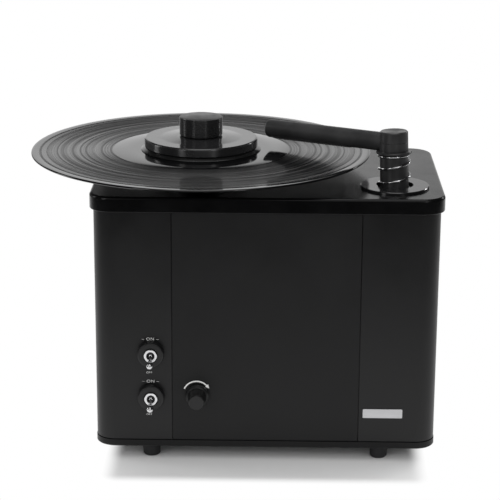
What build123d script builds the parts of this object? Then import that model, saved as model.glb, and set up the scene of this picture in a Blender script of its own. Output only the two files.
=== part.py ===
"""Record cleaning machine: a vacuum-arm washer for 12-inch records.

Millimetres, +Z up, front towards -Y. The origin lies on the table under the centre of the
overall footprint, which is the record's left edge to the top plate's right edge.
"""
import os
from math import atan2, cos, degrees, hypot, radians, sin, sqrt, tan

from build123d import *

os.makedirs("parts", exist_ok=True)

# ---- record and platter -------------------------------------------------------------
RECORD_R = 150.8
RECORD_T = 1.6
RECORD_RIM_W = 6.0
LABEL_R = 78.0
GROOVE_DEPTH = 0.15
MAT_R = 128.0
MAT_T = 1.0
PLATTER_R = 130.0
PLATTER_T = 3.0
SPINDLE_R = 3.6
SPINDLE_ABOVE_RECORD = 14.0

# ---- case ---------------------------------------------------------------------------
PLATE_D = 192.0
PLATE_T = 13.5
PLATE_CORNER_R = 20.0
PLATE_EDGE_R = 2.5
PLATE_OVERHANG = 3.2
SPINDLE_FROM_LEFT = 91.7
SPINDLE_FROM_FRONT = 105.7
FOOT_H = 12.0
FOOT_R = 7.5
FOOT_SPREAD = 0.5
FOOT_EASE = 1.2
FOOT_SCREW_R = 3.0
FOOT_SCREW_TOP = 5.0
BASE_T = 6.0
BASE_PROUD = 0.4
GASKET_T = 0.8
CASE_H = 206.0
WALL = 3.0
PANEL_T = 2.5
SHELL_W = 67.75
PANEL_GAP = 0.8
PANEL_RECESS = 0.3
LIP_W = 9.0
LIP_T = 2.0
FOOT_FROM_SIDE = 48.2
FOOT_FROM_EDGE = 13.0
PORT_R = 5.0
PORT_HOLE_R = 2.1
PORT_INSET = 6.0
PLATTER_CLEARANCE = 12.4

# ---- platter drive ------------------------------------------------------------------
SHAFT_R = 5.0
BEARING_R = 13.0
BEARING_T = 8.0
HOUSING_R = 18.0
HOUSING_H = 34.0
HOUSING_FLANGE_R = 32.0
HOUSING_FLANGE_T = 5.0
HOUSING_PROUD = 1.0
HUB_R = 40.0
HUB_BOSS_R = 15.0
MOTOR_SHAFT_R = 4.0
COUPLING_R = 11.0
COUPLING_H = 22.0
COUPLING_GAP = 6.0
STANDOFF_L = 50.0
STANDOFF_HALF = 32.0
BRACKET_T = 4.0
GEARBOX_R = 28.0
GEARBOX_H = 22.0
MOTOR_CAN_R = 24.0
MOTOR_CAN_H = 36.0

# ---- clamp --------------------------------------------------------------------------
CLAMP_R = 50.3
CLAMP_T = 8.4
CLAMP_EDGE_R = 1.0
CLAMP_HUB_R = 31.0
CLAMP_HUB_TOP_R = 18.0
CLAMP_HUB_H = 1.4
SEAL_R = 53.3
SEAL_W = 8.0
SEAL_T = 2.3
SEAL_LIP = 0.4
SEAL_GAP = 0.1
KNOB_R = 19.1
KNOB_H = 17.3
KNOB_NECK_R = 8.0
KNOB_FOOT_GAP = 0.7
GRIP_GROOVES = 9
INSERT_R = 5.5
INSERT_H = 12.0

# ---- suction arm --------------------------------------------------------------------
POST_FROM_RIM = 29.58
POST_FROM_FRONT = 44.7
POST_FROM_RIGHT = 41.65
TIP_RIGHT = 62.6
TIP_BACK = 18.3
ARM_LEAN = 2.4
TUBE_R = 8.1
TUBE_WALL = 1.2
TUBE_START = 6.0
TUBE_AXIS_H = 20.4
HEAD_R = 12.3
HEAD_TOP_R = 12.1
HEAD_TOP_H = 30.9
HEAD_SEAM_H = 21.6
HEAD_SEAM_W = 0.6
HEAD_SEAM_DEPTH = 0.3
BAND_R = 15.4
BAND_LOW_H = 11.6
BAND_T = 2.0
RISER_R = 12.3
RISER_WALL = 1.8
RISER_BELOW_GUIDE = 17.0
SLOT_W = 2.4
SLOT_FROM_TIP = 6.0
SLOT_FROM_HEAD = 43.5
PAD_W = 5.0
PAD_T = 0.8
END_CAP_T = 2.5

# ---- spring -------------------------------------------------------------------------
WIRE_R = 0.9
COIL_R = 13.4
SPRING_TURNS = 3.55
SPRING_PHASE = -6.7
TURN_POINTS = 12

# ---- arm socket ---------------------------------------------------------------------
FLANGE_R = 29.6
FLANGE_T = 2.0
SOCKET_BORE_R = 16.0
SOCKET_R = 19.0
SOCKET_DEPTH = 42.0
SOCKET_FLOOR_T = 3.0
SEAT_DEPTH = 8.0
SEAT_T = 2.0
GUIDE_T = 7.0
GUIDE_CLEARANCE = 0.35
SOCKET_NUT_R = 27.0
SOCKET_NUT_T = 6.0

# ---- hoses, tank and fan ------------------------------------------------------------
SPIGOT_R = 10.0
SPIGOT_WALL = 1.5
SPIGOT_L = 15.0
HOSE_WALL = 2.5
HOSE_SLIP = 0.05
HOSE_BEND_R = 20.0
HOSE_HEADROOM = 9.8
TANK_SHARE = 0.3542
TANK_WALL = 2.5
TANK_CORNER_R = 10.0
TANK_FROM_WALL = 5.8
TANK_FROM_FRONT = 11.4
TANK_FROM_REAR = 16.0
TANK_PAD_T = 4.0
TANK_PAD_SIDE = 14.0
LID_T = 4.0
AIR_FROM_EDGE = 20.5
FAN_SHARE = 0.162
FAN_FROM_TANK = 2.5
FAN_FROM_REAR = 15.0
FAN_HEADROOM = 7.8
FAN_PAD_T = 3.0
DRAIN_FROM_TANK = 27.0
DRAIN_Z = 38.0
DRAIN_R = 8.0
DRAIN_BORE_R = 6.0
DRAIN_OUT = 20.0
CAP_WALL = 2.0
CAP_FIT = 0.1

# ---- controls -----------------------------------------------------------------------
TOGGLE_FROM_LEFT = 49.15
TOGGLE_HIGH_Z = 98.5
TOGGLE_LOW_Z = 58.9
COLLAR_R = 11.5
COLLAR_T = 7.0
COLLAR_EDGE_R = 1.6
NUT_R = 5.6
NUT_CORNER = 0.6
NUT_T = 2.4
BUSH_R = 3.6
LEVER_DOWN = 25.0
LEVER_BALL_R = 2.5
LEVER_NECK_R = 1.3
LEVER_TIP_R = 3.0
LEVER_LENGTH = 16.0
LEVER_PIN_R = 0.8
LEVER_PIN_L = 6.4
SWITCH_W = 13.0
SWITCH_H = 22.0
SWITCH_D = 18.0
SPEED_FROM_SEAM = 21.35
SPEED_Z = 60.0
SPEED_SKIRT_R = 10.3
SPEED_SKIRT_T = 4.0
SPEED_BODY_R = 8.2
SPEED_FACE_R = 6.9
SPEED_REACH = 18.7
SPEED_PANEL_GAP = 0.6
SPEED_FLUTES = 18
POT_SHAFT_R = 3.0
POT_R = 12.0
POT_T = 11.0

# ---- rear -----------------------------------------------------------------------------
INLET_FROM_SEAM = 25.65
INLET_Z = 52.0
INLET_W = 27.0
INLET_H = 20.0
INLET_FLANGE_W = 50.0
INLET_FLANGE_H = 24.0
INLET_FLANGE_T = 2.5
INLET_DEPTH = 20.0
VENT_SLOTS = 9
VENT_PITCH = 9.0
VENT_SLOT_W = 4.0
VENT_SLOT_H = 46.0
VENT_Z = 150.0

# ---- transformer and control board ------------------------------------------------------
CORE_R = 20.0
CORE_W = 18.0
CORE_H = 26.0
CORE_FROM_WALL = 6.1
CORE_FROM_REAR = 41.0
CORE_PAD_T = 2.0
CORE_BOLT_R = 3.0
BOARD_W = 56.0
BOARD_D = 50.0
BOARD_T = 1.6
BOARD_LIFT = 8.0
BOARD_FROM_FRONT = 64.4
PILLAR_R = 3.0
PILLAR_INSET = 4.0
SINK_W = 14.0
SINK_L = 36.0
SINK_H = 18.0
SINK_FROM_CENTRE = 16.0
SINK_CUTS = 3
SINK_CUT_W = 2.2
SINK_CUT_PITCH = 4.5
CAPACITOR_R = 6.0
CAPACITOR_H = 20.0
CAPACITOR_HALF = 12.0

# ---- fits -----------------------------------------------------------------------------
RUNNING = 0.05
CLEAR = 0.3

# ---- levels and places that follow from the driving sizes ----------------------------
POST_Y = POST_FROM_FRONT - SPINDLE_FROM_FRONT
POST_SIDE = sqrt((RECORD_R + POST_FROM_RIM) ** 2 - POST_Y ** 2)
PLATE_W = SPINDLE_FROM_LEFT + POST_SIDE + POST_FROM_RIGHT
OVERALL_W = RECORD_R + PLATE_W - SPINDLE_FROM_LEFT
SPINDLE_X = RECORD_R - OVERALL_W / 2
POST_X = SPINDLE_X + POST_SIDE
ARM_LENGTH = hypot(POST_SIDE - TIP_RIGHT, TIP_BACK - POST_Y)
ARM_BEARING = degrees(atan2(TIP_BACK - POST_Y, TIP_RIGHT - POST_SIDE))
SLOT_L = ARM_LENGTH - SLOT_FROM_TIP - SLOT_FROM_HEAD
CASE_X = OVERALL_W / 2 - PLATE_W / 2
CASE_Y = PLATE_D / 2 - SPINDLE_FROM_FRONT
CASE_W = PLATE_W - 2 * PLATE_OVERHANG
CASE_D = PLATE_D - 2 * PLATE_OVERHANG
CASE_CORNER_R = PLATE_CORNER_R - PLATE_OVERHANG
FRONT_Y = CASE_Y - CASE_D / 2
REAR_Y = CASE_Y + CASE_D / 2
CASE_LEFT = CASE_X - CASE_W / 2
CASE_RIGHT = CASE_X + CASE_W / 2
PANEL_W = CASE_W - 2 * SHELL_W
SEAM_X = CASE_LEFT + SHELL_W
FOOT_HALF_X = CASE_W / 2 - FOOT_FROM_SIDE
TOGGLE_X = CASE_LEFT + TOGGLE_FROM_LEFT
SPEED_X = SEAM_X + SPEED_FROM_SEAM
INLET_X = SEAM_X + INLET_FROM_SEAM
BASE_TOP = FOOT_H + BASE_T
CASE_LOW = BASE_TOP + GASKET_T
CASE_TOP = CASE_LOW + CASE_H
PLATE_TOP = CASE_TOP + PLATE_T
PLATTER_LOW = PLATE_TOP + PLATTER_CLEARANCE
PLATTER_TOP = PLATTER_LOW + PLATTER_T
RECORD_LOW = PLATTER_TOP + MAT_T
RECORD_TOP = RECORD_LOW + RECORD_T
CLAMP_LOW = RECORD_TOP + SEAL_GAP + SEAL_T
CLAMP_TOP = CLAMP_LOW + CLAMP_T
HUB_TOP = CLAMP_TOP + CLAMP_HUB_H
HOUSING_TOP = PLATE_TOP + HOUSING_PROUD
HOUSING_LOW = HOUSING_TOP - HOUSING_H
COUPLING_LOW = HOUSING_LOW - COUPLING_GAP - COUPLING_H
BRACKET_LOW = CASE_TOP - STANDOFF_L - BRACKET_T
GUIDE_TOP = PLATE_TOP - SEAT_DEPTH
PIVOT_Z = GUIDE_TOP - GUIDE_T / 2
SOCKET_LOW = PLATE_TOP - SOCKET_DEPTH
MOTOR_LOW = BRACKET_LOW - GEARBOX_H - MOTOR_CAN_H
HOSE_TOP = BRACKET_LOW - HOSE_HEADROOM
LID_TOP = HOSE_TOP - HOSE_BEND_R - SPIGOT_L
TANK_TOP = LID_TOP - LID_T
TANK_LOW = BASE_TOP + TANK_PAD_T
TANK_H = TANK_TOP - TANK_LOW
TANK_W = TANK_SHARE * CASE_W
TANK_D = CASE_D - TANK_FROM_FRONT - TANK_FROM_REAR
TANK_X = CASE_RIGHT - WALL - TANK_FROM_WALL - TANK_W / 2
TANK_Y = FRONT_Y + TANK_FROM_FRONT + TANK_D / 2
AIR_SPIGOT_X = TANK_X - TANK_W / 2 + AIR_FROM_EDGE
DRAIN_X = TANK_X - DRAIN_FROM_TANK
FAN_R = FAN_SHARE * CASE_W
FAN_X = TANK_X - TANK_W / 2 - FAN_FROM_TANK - FAN_R
FAN_Y = REAR_Y - FAN_FROM_REAR - FAN_R
FAN_LOW = BASE_TOP + FAN_PAD_T
FAN_TOP = MOTOR_LOW - FAN_HEADROOM
FAN_H = FAN_TOP - FAN_LOW
CORE_X = CASE_LEFT + WALL + CORE_FROM_WALL + CORE_R + CORE_W / 2
CORE_Y = REAR_Y - CORE_FROM_REAR
BOARD_Y = FRONT_Y + BOARD_FROM_FRONT
COLLAR_FACE_Y = FRONT_Y - COLLAR_T
PIVOT_Y = COLLAR_FACE_Y + 0.6


def save(name, shape):
    """Write one node's solids to its STEP file."""
    export_step(shape, f"parts/{name}.step")


def ring(outer_r, inner_r, low, high, x=0.0, y=0.0):
    """A plain upright ring between two levels."""
    height = high - low
    body = Cylinder(outer_r, height) - Cylinder(inner_r, height)
    return Pos(x, y, (low + high) / 2) * body


def disc(radius, low, high, x=0.0, y=0.0):
    """A plain upright cylinder between two levels."""
    return Pos(x, y, (low + high) / 2) * Cylinder(radius, high - low)


def turned(points, x=0.0, y=0.0, z=0.0):
    """A piece turned about an upright axis from a closed (radius, height) outline."""
    outline = make_face(Polyline(*[(r, 0, h) for r, h in points], close=True))
    return Pos(x, y, z) * revolve(outline, Axis.Z)


def case_outline(grow=0.0):
    """Plan outline of the case, grown or shrunk evenly."""
    corner = CASE_CORNER_R + grow
    return RectangleRounded(CASE_W + 2 * grow, CASE_D + 2 * grow, corner)


# ---- case -----------------------------------------------------------------------------
def base_plate():
    sheet = Pos(CASE_X, CASE_Y, FOOT_H) * extrude(case_outline(BASE_PROUD), BASE_T)
    lower_rim = sheet.faces().sort_by(Axis.Z)[0].edges()
    return chamfer(lower_rim, 0.8)


def base_gasket():
    frame = case_outline(-1.2) - case_outline(-5.0)
    return Pos(CASE_X, CASE_Y, BASE_TOP) * extrude(frame, GASKET_T)


def feet():
    """Four tapered rubber feet, each with the pocket that its screw head sits in."""
    outline = [(FOOT_SCREW_R, 0), (FOOT_SCREW_R, FOOT_SCREW_TOP), (0, FOOT_SCREW_TOP),
               (0, FOOT_H), (FOOT_R + FOOT_SPREAD, FOOT_H), (FOOT_R, FOOT_EASE),
               (FOOT_R - FOOT_EASE, 0)]
    foot = turned(outline)
    front = FRONT_Y + FOOT_FROM_EDGE
    rear = REAR_Y - FOOT_FROM_EDGE
    places = [(CASE_X + side * FOOT_HALF_X, y) for side in (-1, 1) for y in (front, rear)]
    return Compound([Pos(x, y, 0) * foot for x, y in places])


def side_shell(side):
    """One extruded case side: outer wall, two rounded corners, panel lips and screw ports."""
    hollow = case_outline() - case_outline(-WALL)
    seam = PANEL_W / 2 + PANEL_GAP
    half = Pos(side * (seam + CASE_W / 2), 0) * Rectangle(CASE_W, CASE_D)
    profile = hollow & half
    lip_y = CASE_D / 2 - PANEL_RECESS - PANEL_T - LIP_T / 2
    step_y = CASE_D / 2 - (PANEL_RECESS + PANEL_T + LIP_T) / 2
    port = CASE_D / 2 - WALL - PORT_INSET
    port_x = CASE_W / 2 - WALL - PORT_INSET
    for end in (-1, 1):
        lip = Pos(side * seam, end * lip_y) * Rectangle(2 * LIP_W, LIP_T)
        step = Pos(side * (seam + WALL / 2), end * step_y) * Rectangle(WALL, 2 * (CASE_D / 2 - step_y))
        boss = Pos(side * port_x, end * port) * Circle(PORT_R)
        web = Pos(side * (port_x + PORT_INSET / 2), end * (port + PORT_INSET / 2))
        web = web * Rectangle(PORT_INSET, PORT_INSET)
        profile = profile + lip + step + boss + (web & case_outline(-WALL / 2))
    for end in (-1, 1):
        profile = profile - Pos(side * port_x, end * port) * Circle(PORT_HOLE_R)
    shell = Pos(CASE_X, CASE_Y, CASE_LOW) * extrude(profile, CASE_H)
    if side < 0:
        for z in (TOGGLE_HIGH_Z, TOGGLE_LOW_Z):
            shell = shell - Pos(TOGGLE_X, FRONT_Y, z) * Rot(90, 0, 0) * Cylinder(BUSH_R + 0.1, 20)
    return shell


def panel(at_front):
    """The flat sheet between the two side extrusions, at the front or at the rear."""
    side = -1 if at_front else 1
    edge = FRONT_Y if at_front else REAR_Y
    centre_y = edge - side * (PANEL_RECESS + PANEL_T / 2)
    sheet = Box(PANEL_W, PANEL_T, CASE_H)
    return Pos(CASE_X, centre_y, CASE_LOW + CASE_H / 2) * sheet


def front_panel():
    hole = Pos(SPEED_X, FRONT_Y, SPEED_Z) * Rot(90, 0, 0) * Cylinder(POT_SHAFT_R + 1.0, 20)
    return panel(True) - hole


def rear_panel():
    """Rear sheet with the exhaust slots, the power inlet's cut-out and the drain hole."""
    slot = extrude(Plane.XZ * SlotOverall(VENT_SLOT_H, VENT_SLOT_W, rotation=90), 10, both=True)
    slots = [Pos(CASE_X + (i - (VENT_SLOTS - 1) / 2) * VENT_PITCH, REAR_Y, VENT_Z) * slot
             for i in range(VENT_SLOTS)]
    inlet = Pos(INLET_X, REAR_Y, INLET_Z) * Box(INLET_W + 2 * CLEAR, 20, INLET_H + 2 * CLEAR)
    drain = Pos(DRAIN_X, REAR_Y, DRAIN_Z) * Rot(90, 0, 0) * Cylinder(DRAIN_R + 1.0, 20)
    return panel(False) - slots - inlet - drain


def top_plate():
    outline = RectangleRounded(PLATE_W, PLATE_D, PLATE_CORNER_R)
    plate = Pos(CASE_X, CASE_Y, CASE_TOP) * extrude(outline, PLATE_T)
    plate = fillet(plate.faces().sort_by(Axis.Z)[-1].edges(), PLATE_EDGE_R)
    plate = fillet(plate.faces().sort_by(Axis.Z)[0].edges(), 0.8)
    plate = plate - disc(HOUSING_R + CLEAR, CASE_TOP - 1, PLATE_TOP + 1, SPINDLE_X, 0)
    return plate - disc(SOCKET_R + CLEAR, CASE_TOP - 1, PLATE_TOP + 1, POST_X, POST_Y)


# ---- platter drive ---------------------------------------------------------------------
def bearing_housing():
    """Turned housing that hangs from the top plate and carries the two spindle bearings."""
    top = HOUSING_TOP
    flange_low = CASE_TOP - HOUSING_FLANGE_T
    inner = BEARING_R
    waist = BEARING_R - 3.0
    outline = [(HOUSING_R, HOUSING_LOW), (HOUSING_R, flange_low),
               (HOUSING_FLANGE_R, flange_low), (HOUSING_FLANGE_R, CASE_TOP),
               (HOUSING_R, CASE_TOP), (HOUSING_R, top), (inner, top), (inner, top - BEARING_T),
               (waist, top - BEARING_T), (waist, HOUSING_LOW + BEARING_T),
               (inner, HOUSING_LOW + BEARING_T), (inner, HOUSING_LOW)]
    return turned(outline, SPINDLE_X)


def spindle_bearings():
    """Two shielded ball bearings, each drawn as its rings and recessed shields."""
    mid = BEARING_T / 2
    shaft = SHAFT_R + RUNNING
    outline = [(shaft, -mid), (shaft + 2, -mid), (shaft + 2, 0.6 - mid), (BEARING_R - 2, 0.6 - mid),
               (BEARING_R - 2, -mid), (BEARING_R, -mid), (BEARING_R, mid), (BEARING_R - 2, mid),
               (BEARING_R - 2, mid - 0.6), (shaft + 2, mid - 0.6), (shaft + 2, mid), (shaft, mid)]
    levels = (HOUSING_TOP - mid, HOUSING_LOW + mid)
    return Compound([turned(outline, SPINDLE_X, 0, z) for z in levels])


def spindle():
    """Stepped shaft: drive end, bearing seats, hub shoulder and the record pin."""
    pin_top = RECORD_TOP + SPINDLE_ABOVE_RECORD
    low = COUPLING_LOW + COUPLING_H / 2 + 0.5
    outline = [(0, low), (SHAFT_R - 0.5, low), (SHAFT_R, low + 0.5), (SHAFT_R, PLATTER_TOP),
               (SPINDLE_R, PLATTER_TOP), (SPINDLE_R, pin_top - 1.5), (SPINDLE_R - 1.2, pin_top),
               (0, pin_top)]
    return turned(outline, SPINDLE_X)


def platter_hub():
    """Flanged hub: the boss grips the shaft and the flange carries the platter."""
    low = PLATE_TOP + 2.0
    outline = [(SHAFT_R, low), (HUB_BOSS_R - 1, low), (HUB_BOSS_R, low + 1),
               (HUB_BOSS_R, PLATTER_LOW - 6), (HUB_BOSS_R + 3, PLATTER_LOW - 3.5),
               (HUB_R, PLATTER_LOW - 3), (HUB_R, PLATTER_LOW), (SHAFT_R, PLATTER_LOW)]
    return turned(outline, SPINDLE_X)


def platter():
    """Thin turned disc with a chamfered rim."""
    outline = [(SHAFT_R, PLATTER_LOW), (PLATTER_R - 1.0, PLATTER_LOW),
               (PLATTER_R, PLATTER_LOW + 1.0), (PLATTER_R, PLATTER_TOP - 0.4),
               (PLATTER_R - 0.4, PLATTER_TOP), (SHAFT_R, PLATTER_TOP)]
    return turned(outline, SPINDLE_X)


def platter_mat():
    return ring(MAT_R, SPINDLE_R + CLEAR, PLATTER_TOP, RECORD_LOW, SPINDLE_X)


def record():
    """A pressed disc: raised rim, sunken grooved band and the flat middle."""
    edge = RECORD_LOW + RECORD_T / 2
    groove = RECORD_TOP - GROOVE_DEPTH
    hole = SPINDLE_R + RUNNING
    rim = RECORD_R - RECORD_RIM_W
    outline = [(hole, RECORD_LOW), (RECORD_R - 0.6, RECORD_LOW), (RECORD_R, edge - 0.2),
               (RECORD_R, edge + 0.2), (RECORD_R - 0.6, RECORD_TOP), (rim, RECORD_TOP),
               (rim - 0.6, groove), (LABEL_R + 0.6, groove), (LABEL_R, RECORD_TOP),
               (hole, RECORD_TOP)]
    return turned(outline, SPINDLE_X)


def motor_coupling():
    """Clamping coupling between spindle and gear motor, with its two pinch slits."""
    body = disc(COUPLING_R, COUPLING_LOW, COUPLING_LOW + COUPLING_H, SPINDLE_X)
    middle = COUPLING_LOW + COUPLING_H / 2
    body = body - disc(SHAFT_R, middle, COUPLING_LOW + COUPLING_H, SPINDLE_X)
    body = body - disc(MOTOR_SHAFT_R, COUPLING_LOW, middle, SPINDLE_X)
    slit = Box(COUPLING_R + 1, 1.0, COUPLING_H / 2 - 3)
    for level in (COUPLING_LOW, COUPLING_LOW + COUPLING_H):
        body = body - Pos(SPINDLE_X + (COUPLING_R + 1) / 2, 0, level) * slit
    return body


def motor_shaft():
    low = BRACKET_LOW + BRACKET_T + CLEAR
    return disc(MOTOR_SHAFT_R, low, COUPLING_LOW + COUPLING_H / 2 - 0.5, SPINDLE_X)


def motor_standoffs():
    post = ring(5.0, 1.8, CASE_TOP - STANDOFF_L, CASE_TOP)
    corners = [(i * STANDOFF_HALF, j * STANDOFF_HALF) for i in (-1, 1) for j in (-1, 1)]
    return Compound([Pos(SPINDLE_X + x, y, 0) * post for x, y in corners])


def motor_bracket():
    side = 2 * STANDOFF_HALF + 12
    sheet = Pos(SPINDLE_X, 0, BRACKET_LOW) * extrude(RectangleRounded(side, side, 6), BRACKET_T)
    sheet = sheet - disc(9.0, BRACKET_LOW - 1, BRACKET_LOW + BRACKET_T + 1, SPINDLE_X)
    for i in (-1, 1):
        for j in (-1, 1):
            x = SPINDLE_X + i * STANDOFF_HALF
            sheet = sheet - disc(1.8, BRACKET_LOW - 1, CASE_TOP, x, j * STANDOFF_HALF)
    return sheet


def gear_motor():
    """Gearbox with its locating boss, and the round motor can below it."""
    gearbox_low = BRACKET_LOW - GEARBOX_H
    outline = [(0, MOTOR_LOW), (MOTOR_CAN_R - 2, MOTOR_LOW), (MOTOR_CAN_R, MOTOR_LOW + 2),
               (MOTOR_CAN_R, gearbox_low), (GEARBOX_R, gearbox_low), (GEARBOX_R, BRACKET_LOW),
               (8.8, BRACKET_LOW), (8.8, BRACKET_LOW + 3), (0, BRACKET_LOW + 3)]
    return turned(outline, SPINDLE_X)


# ---- clamp -----------------------------------------------------------------------------
def clamp_disc():
    """Polished pressure disc: eased rim, a flared hub round the neck and a hollow underside."""
    bore = KNOB_NECK_R + RUNNING
    with BuildPart() as body:
        with BuildSketch(Plane.XZ):
            with BuildLine():
                Polyline((bore, CLAMP_LOW + 3), (44.0, CLAMP_LOW + 3), (46.0, CLAMP_LOW),
                         (CLAMP_R - 1.2, CLAMP_LOW), (CLAMP_R, CLAMP_LOW + 1.2),
                         (CLAMP_R, CLAMP_TOP - CLAMP_EDGE_R))
                RadiusArc((CLAMP_R, CLAMP_TOP - CLAMP_EDGE_R), (CLAMP_R - CLAMP_EDGE_R, CLAMP_TOP),
                          -CLAMP_EDGE_R)
                Line((CLAMP_R - CLAMP_EDGE_R, CLAMP_TOP), (CLAMP_HUB_R, CLAMP_TOP))
                TangentArc((CLAMP_HUB_R, CLAMP_TOP), (CLAMP_HUB_TOP_R, HUB_TOP), tangent=(-1, 0))
                Polyline((CLAMP_HUB_TOP_R, HUB_TOP), (bore, HUB_TOP), (bore, CLAMP_LOW + 3))
            make_face()
        revolve(axis=Axis.Z)
    return Pos(SPINDLE_X, 0, 0) * body.part


def clamp_seal():
    """Soft ring with a skirt that spreads outwards onto the record."""
    low = RECORD_TOP + SEAL_GAP
    inner = SEAL_R - SEAL_W
    outline = [(inner, low), (SEAL_R - SEAL_LIP, low), (SEAL_R, low + SEAL_LIP),
               (CLAMP_R - SEAL_LIP, CLAMP_LOW), (inner, CLAMP_LOW)]
    return turned(outline, SPINDLE_X)


def clamp_knob():
    """Grip with turned rings round its side, and the neck that runs in the disc."""
    low = HUB_TOP + KNOB_FOOT_GAP
    top = low + KNOB_H
    pocket = RECORD_TOP + 3.0 + INSERT_H
    neck_low = CLAMP_LOW + 1.0
    points = [(INSERT_R, neck_low), (KNOB_NECK_R, neck_low), (KNOB_NECK_R, low), (KNOB_R - 0.6, low)]
    pitch = (KNOB_H - 3.0) / GRIP_GROOVES
    for i in range(GRIP_GROOVES):
        step = low + 0.8 + i * pitch
        points = points + [(KNOB_R, step), (KNOB_R, step + pitch * 0.6),
                           (KNOB_R - 0.35, step + pitch * 0.8)]
    points = points + [(KNOB_R, top - 1.9), (KNOB_R, top - 0.8), (KNOB_R - 0.8, top), (0, top),
                       (0, pocket), (INSERT_R, pocket)]
    return turned(points, SPINDLE_X)


def clamp_insert():
    """Threaded brass bush pressed into the knob; it screws onto the record pin."""
    low = CLAMP_LOW + 1.0
    high = RECORD_TOP + 3.0 + INSERT_H
    return ring(INSERT_R, SPINDLE_R + RUNNING, low, high, SPINDLE_X)


def clamp_retainer():
    """Spring ring under the disc that keeps knob and disc together."""
    high = CLAMP_LOW + 2.9
    return ring(KNOB_NECK_R + 2.5, KNOB_NECK_R + RUNNING, high - 1.2, high, SPINDLE_X)


# ---- suction arm -----------------------------------------------------------------------
def on_arm(shape):
    """Lean and turn a piece of the arm, drawn upright over its pivot and pointing to +X."""
    return Pos(POST_X, POST_Y, PIVOT_Z) * Rot(0, 0, ARM_BEARING) * Rot(0, ARM_LEAN, 0) * shape


def arm_level(height_over_record):
    """Height above the arm's pivot of a level given above the record."""
    return RECORD_TOP + height_over_record - PIVOT_Z


def along_tube(radius, start, stop):
    """A cylinder along the arm tube's axis."""
    body = Rot(0, 90, 0) * Cylinder(radius, stop - start)
    return Pos((start + stop) / 2, 0, arm_level(TUBE_AXIS_H)) * body


def arm_tube():
    """Satin tube with the suction slot milled along its underside."""
    stop = ARM_LENGTH - END_CAP_T
    tube = along_tube(TUBE_R, TUBE_START, stop) - along_tube(TUBE_R - TUBE_WALL, TUBE_START, stop)
    slot_centre = ARM_LENGTH - SLOT_FROM_TIP - SLOT_L / 2
    slot = Pos(slot_centre, 0, arm_level(TUBE_AXIS_H) - TUBE_R) * Box(SLOT_L, SLOT_W, 6)
    return on_arm(tube - slot)


def arm_end_cap():
    """Plug that closes the free end, with a rounded face."""
    plug = along_tube(TUBE_R - TUBE_WALL - 0.05, ARM_LENGTH - END_CAP_T - 5, ARM_LENGTH - 1)
    face = along_tube(TUBE_R, ARM_LENGTH - END_CAP_T, ARM_LENGTH)
    face = fillet(face.edges().sort_by(Axis.X)[-1], 1.4)
    return on_arm(plug + face)


def arm_pads():
    """Two velvet strips, one along each side of the suction slot."""
    half = SLOT_W / 2 + PAD_W / 2
    centre = ARM_LENGTH - SLOT_FROM_TIP - SLOT_L / 2
    skin = along_tube(TUBE_R + PAD_T, centre - SLOT_L / 2, centre + SLOT_L / 2)
    skin = skin - along_tube(TUBE_R + 0.05, centre - SLOT_L / 2 - 1, centre + SLOT_L / 2 + 1)
    strips = []
    for side in (-1, 1):
        keep = Pos(centre, side * half, arm_level(TUBE_AXIS_H) - TUBE_R) * Box(SLOT_L, PAD_W, 8)
        strips.append(on_arm(skin & keep))
    return Compound(strips)


def arm_head():
    """Turned head over the riser: cap with its seam, spring washer and socket for the tube."""
    low = arm_level(BAND_LOW_H)
    top = arm_level(HEAD_TOP_H)
    shoulder = low + BAND_T
    seam = arm_level(HEAD_SEAM_H)
    waist = HEAD_R + (HEAD_TOP_R - HEAD_R) * (seam - shoulder) / (top - shoulder)
    outline = [(0, low), (BAND_R - 0.5, low), (BAND_R, low + 0.5), (BAND_R, shoulder - 0.5),
               (BAND_R - 0.5, shoulder), (HEAD_R, shoulder), (waist, seam - HEAD_SEAM_W / 2),
               (waist - HEAD_SEAM_DEPTH, seam), (waist, seam + HEAD_SEAM_W / 2),
               (HEAD_TOP_R, top - 0.8), (HEAD_TOP_R - 0.8, top), (0, top)]
    passage = disc(RISER_R - RISER_WALL, low - 1, arm_level(TUBE_AXIS_H))
    bore = along_tube(TUBE_R - TUBE_WALL, -4, TUBE_START + 1)
    return on_arm(turned(outline) - passage - bore - along_tube(TUBE_R, TUBE_START, BAND_R + 1))


def arm_riser():
    """Air-carrying post: slides and turns in the socket's guide."""
    low = -GUIDE_T / 2 - RISER_BELOW_GUIDE
    return on_arm(ring(RISER_R, RISER_R - RISER_WALL, low, arm_level(BAND_LOW_H)))


def riser_stop():
    """Ring on the riser below the guide: the upper end stop of the arm's travel."""
    top = -GUIDE_T / 2 - 1.2
    return on_arm(ring(RISER_R + 2.2, RISER_R, top - 3.0, top))


def spring_height(turn, low, high):
    """Wire height along the coil: half a closed turn at each end, open turns between."""
    closed = 0.5
    lift = 2.4 * WIRE_R * closed
    open_turns = SPRING_TURNS - 2 * closed
    if turn < closed:
        return low + lift * turn / closed
    if turn > SPRING_TURNS - closed:
        return high - lift * (SPRING_TURNS - turn) / closed
    return low + lift + (high - low - 2 * lift) * (turn - closed) / open_turns


def arm_spring():
    """Compression spring round the riser, with closed ends."""
    seat_slope = COIL_R * sin(radians(ARM_LEAN))
    low = GUIDE_TOP + SEAT_T - PIVOT_Z + seat_slope + WIRE_R + 0.1
    high = arm_level(BAND_LOW_H) - WIRE_R - 0.05
    count = round(SPRING_TURNS * TURN_POINTS)
    points = []
    for i in range(count + 1):
        turn = SPRING_TURNS * i / count
        angle = radians(SPRING_PHASE + 360 * turn)
        points.append((COIL_R * cos(angle), COIL_R * sin(angle), spring_height(turn, low, high)))
    wire = Spline(*points)
    start = Plane(origin=wire @ 0, z_dir=wire % 0)
    return on_arm(sweep(start * Circle(WIRE_R), path=wire, is_frenet=True))


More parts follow.
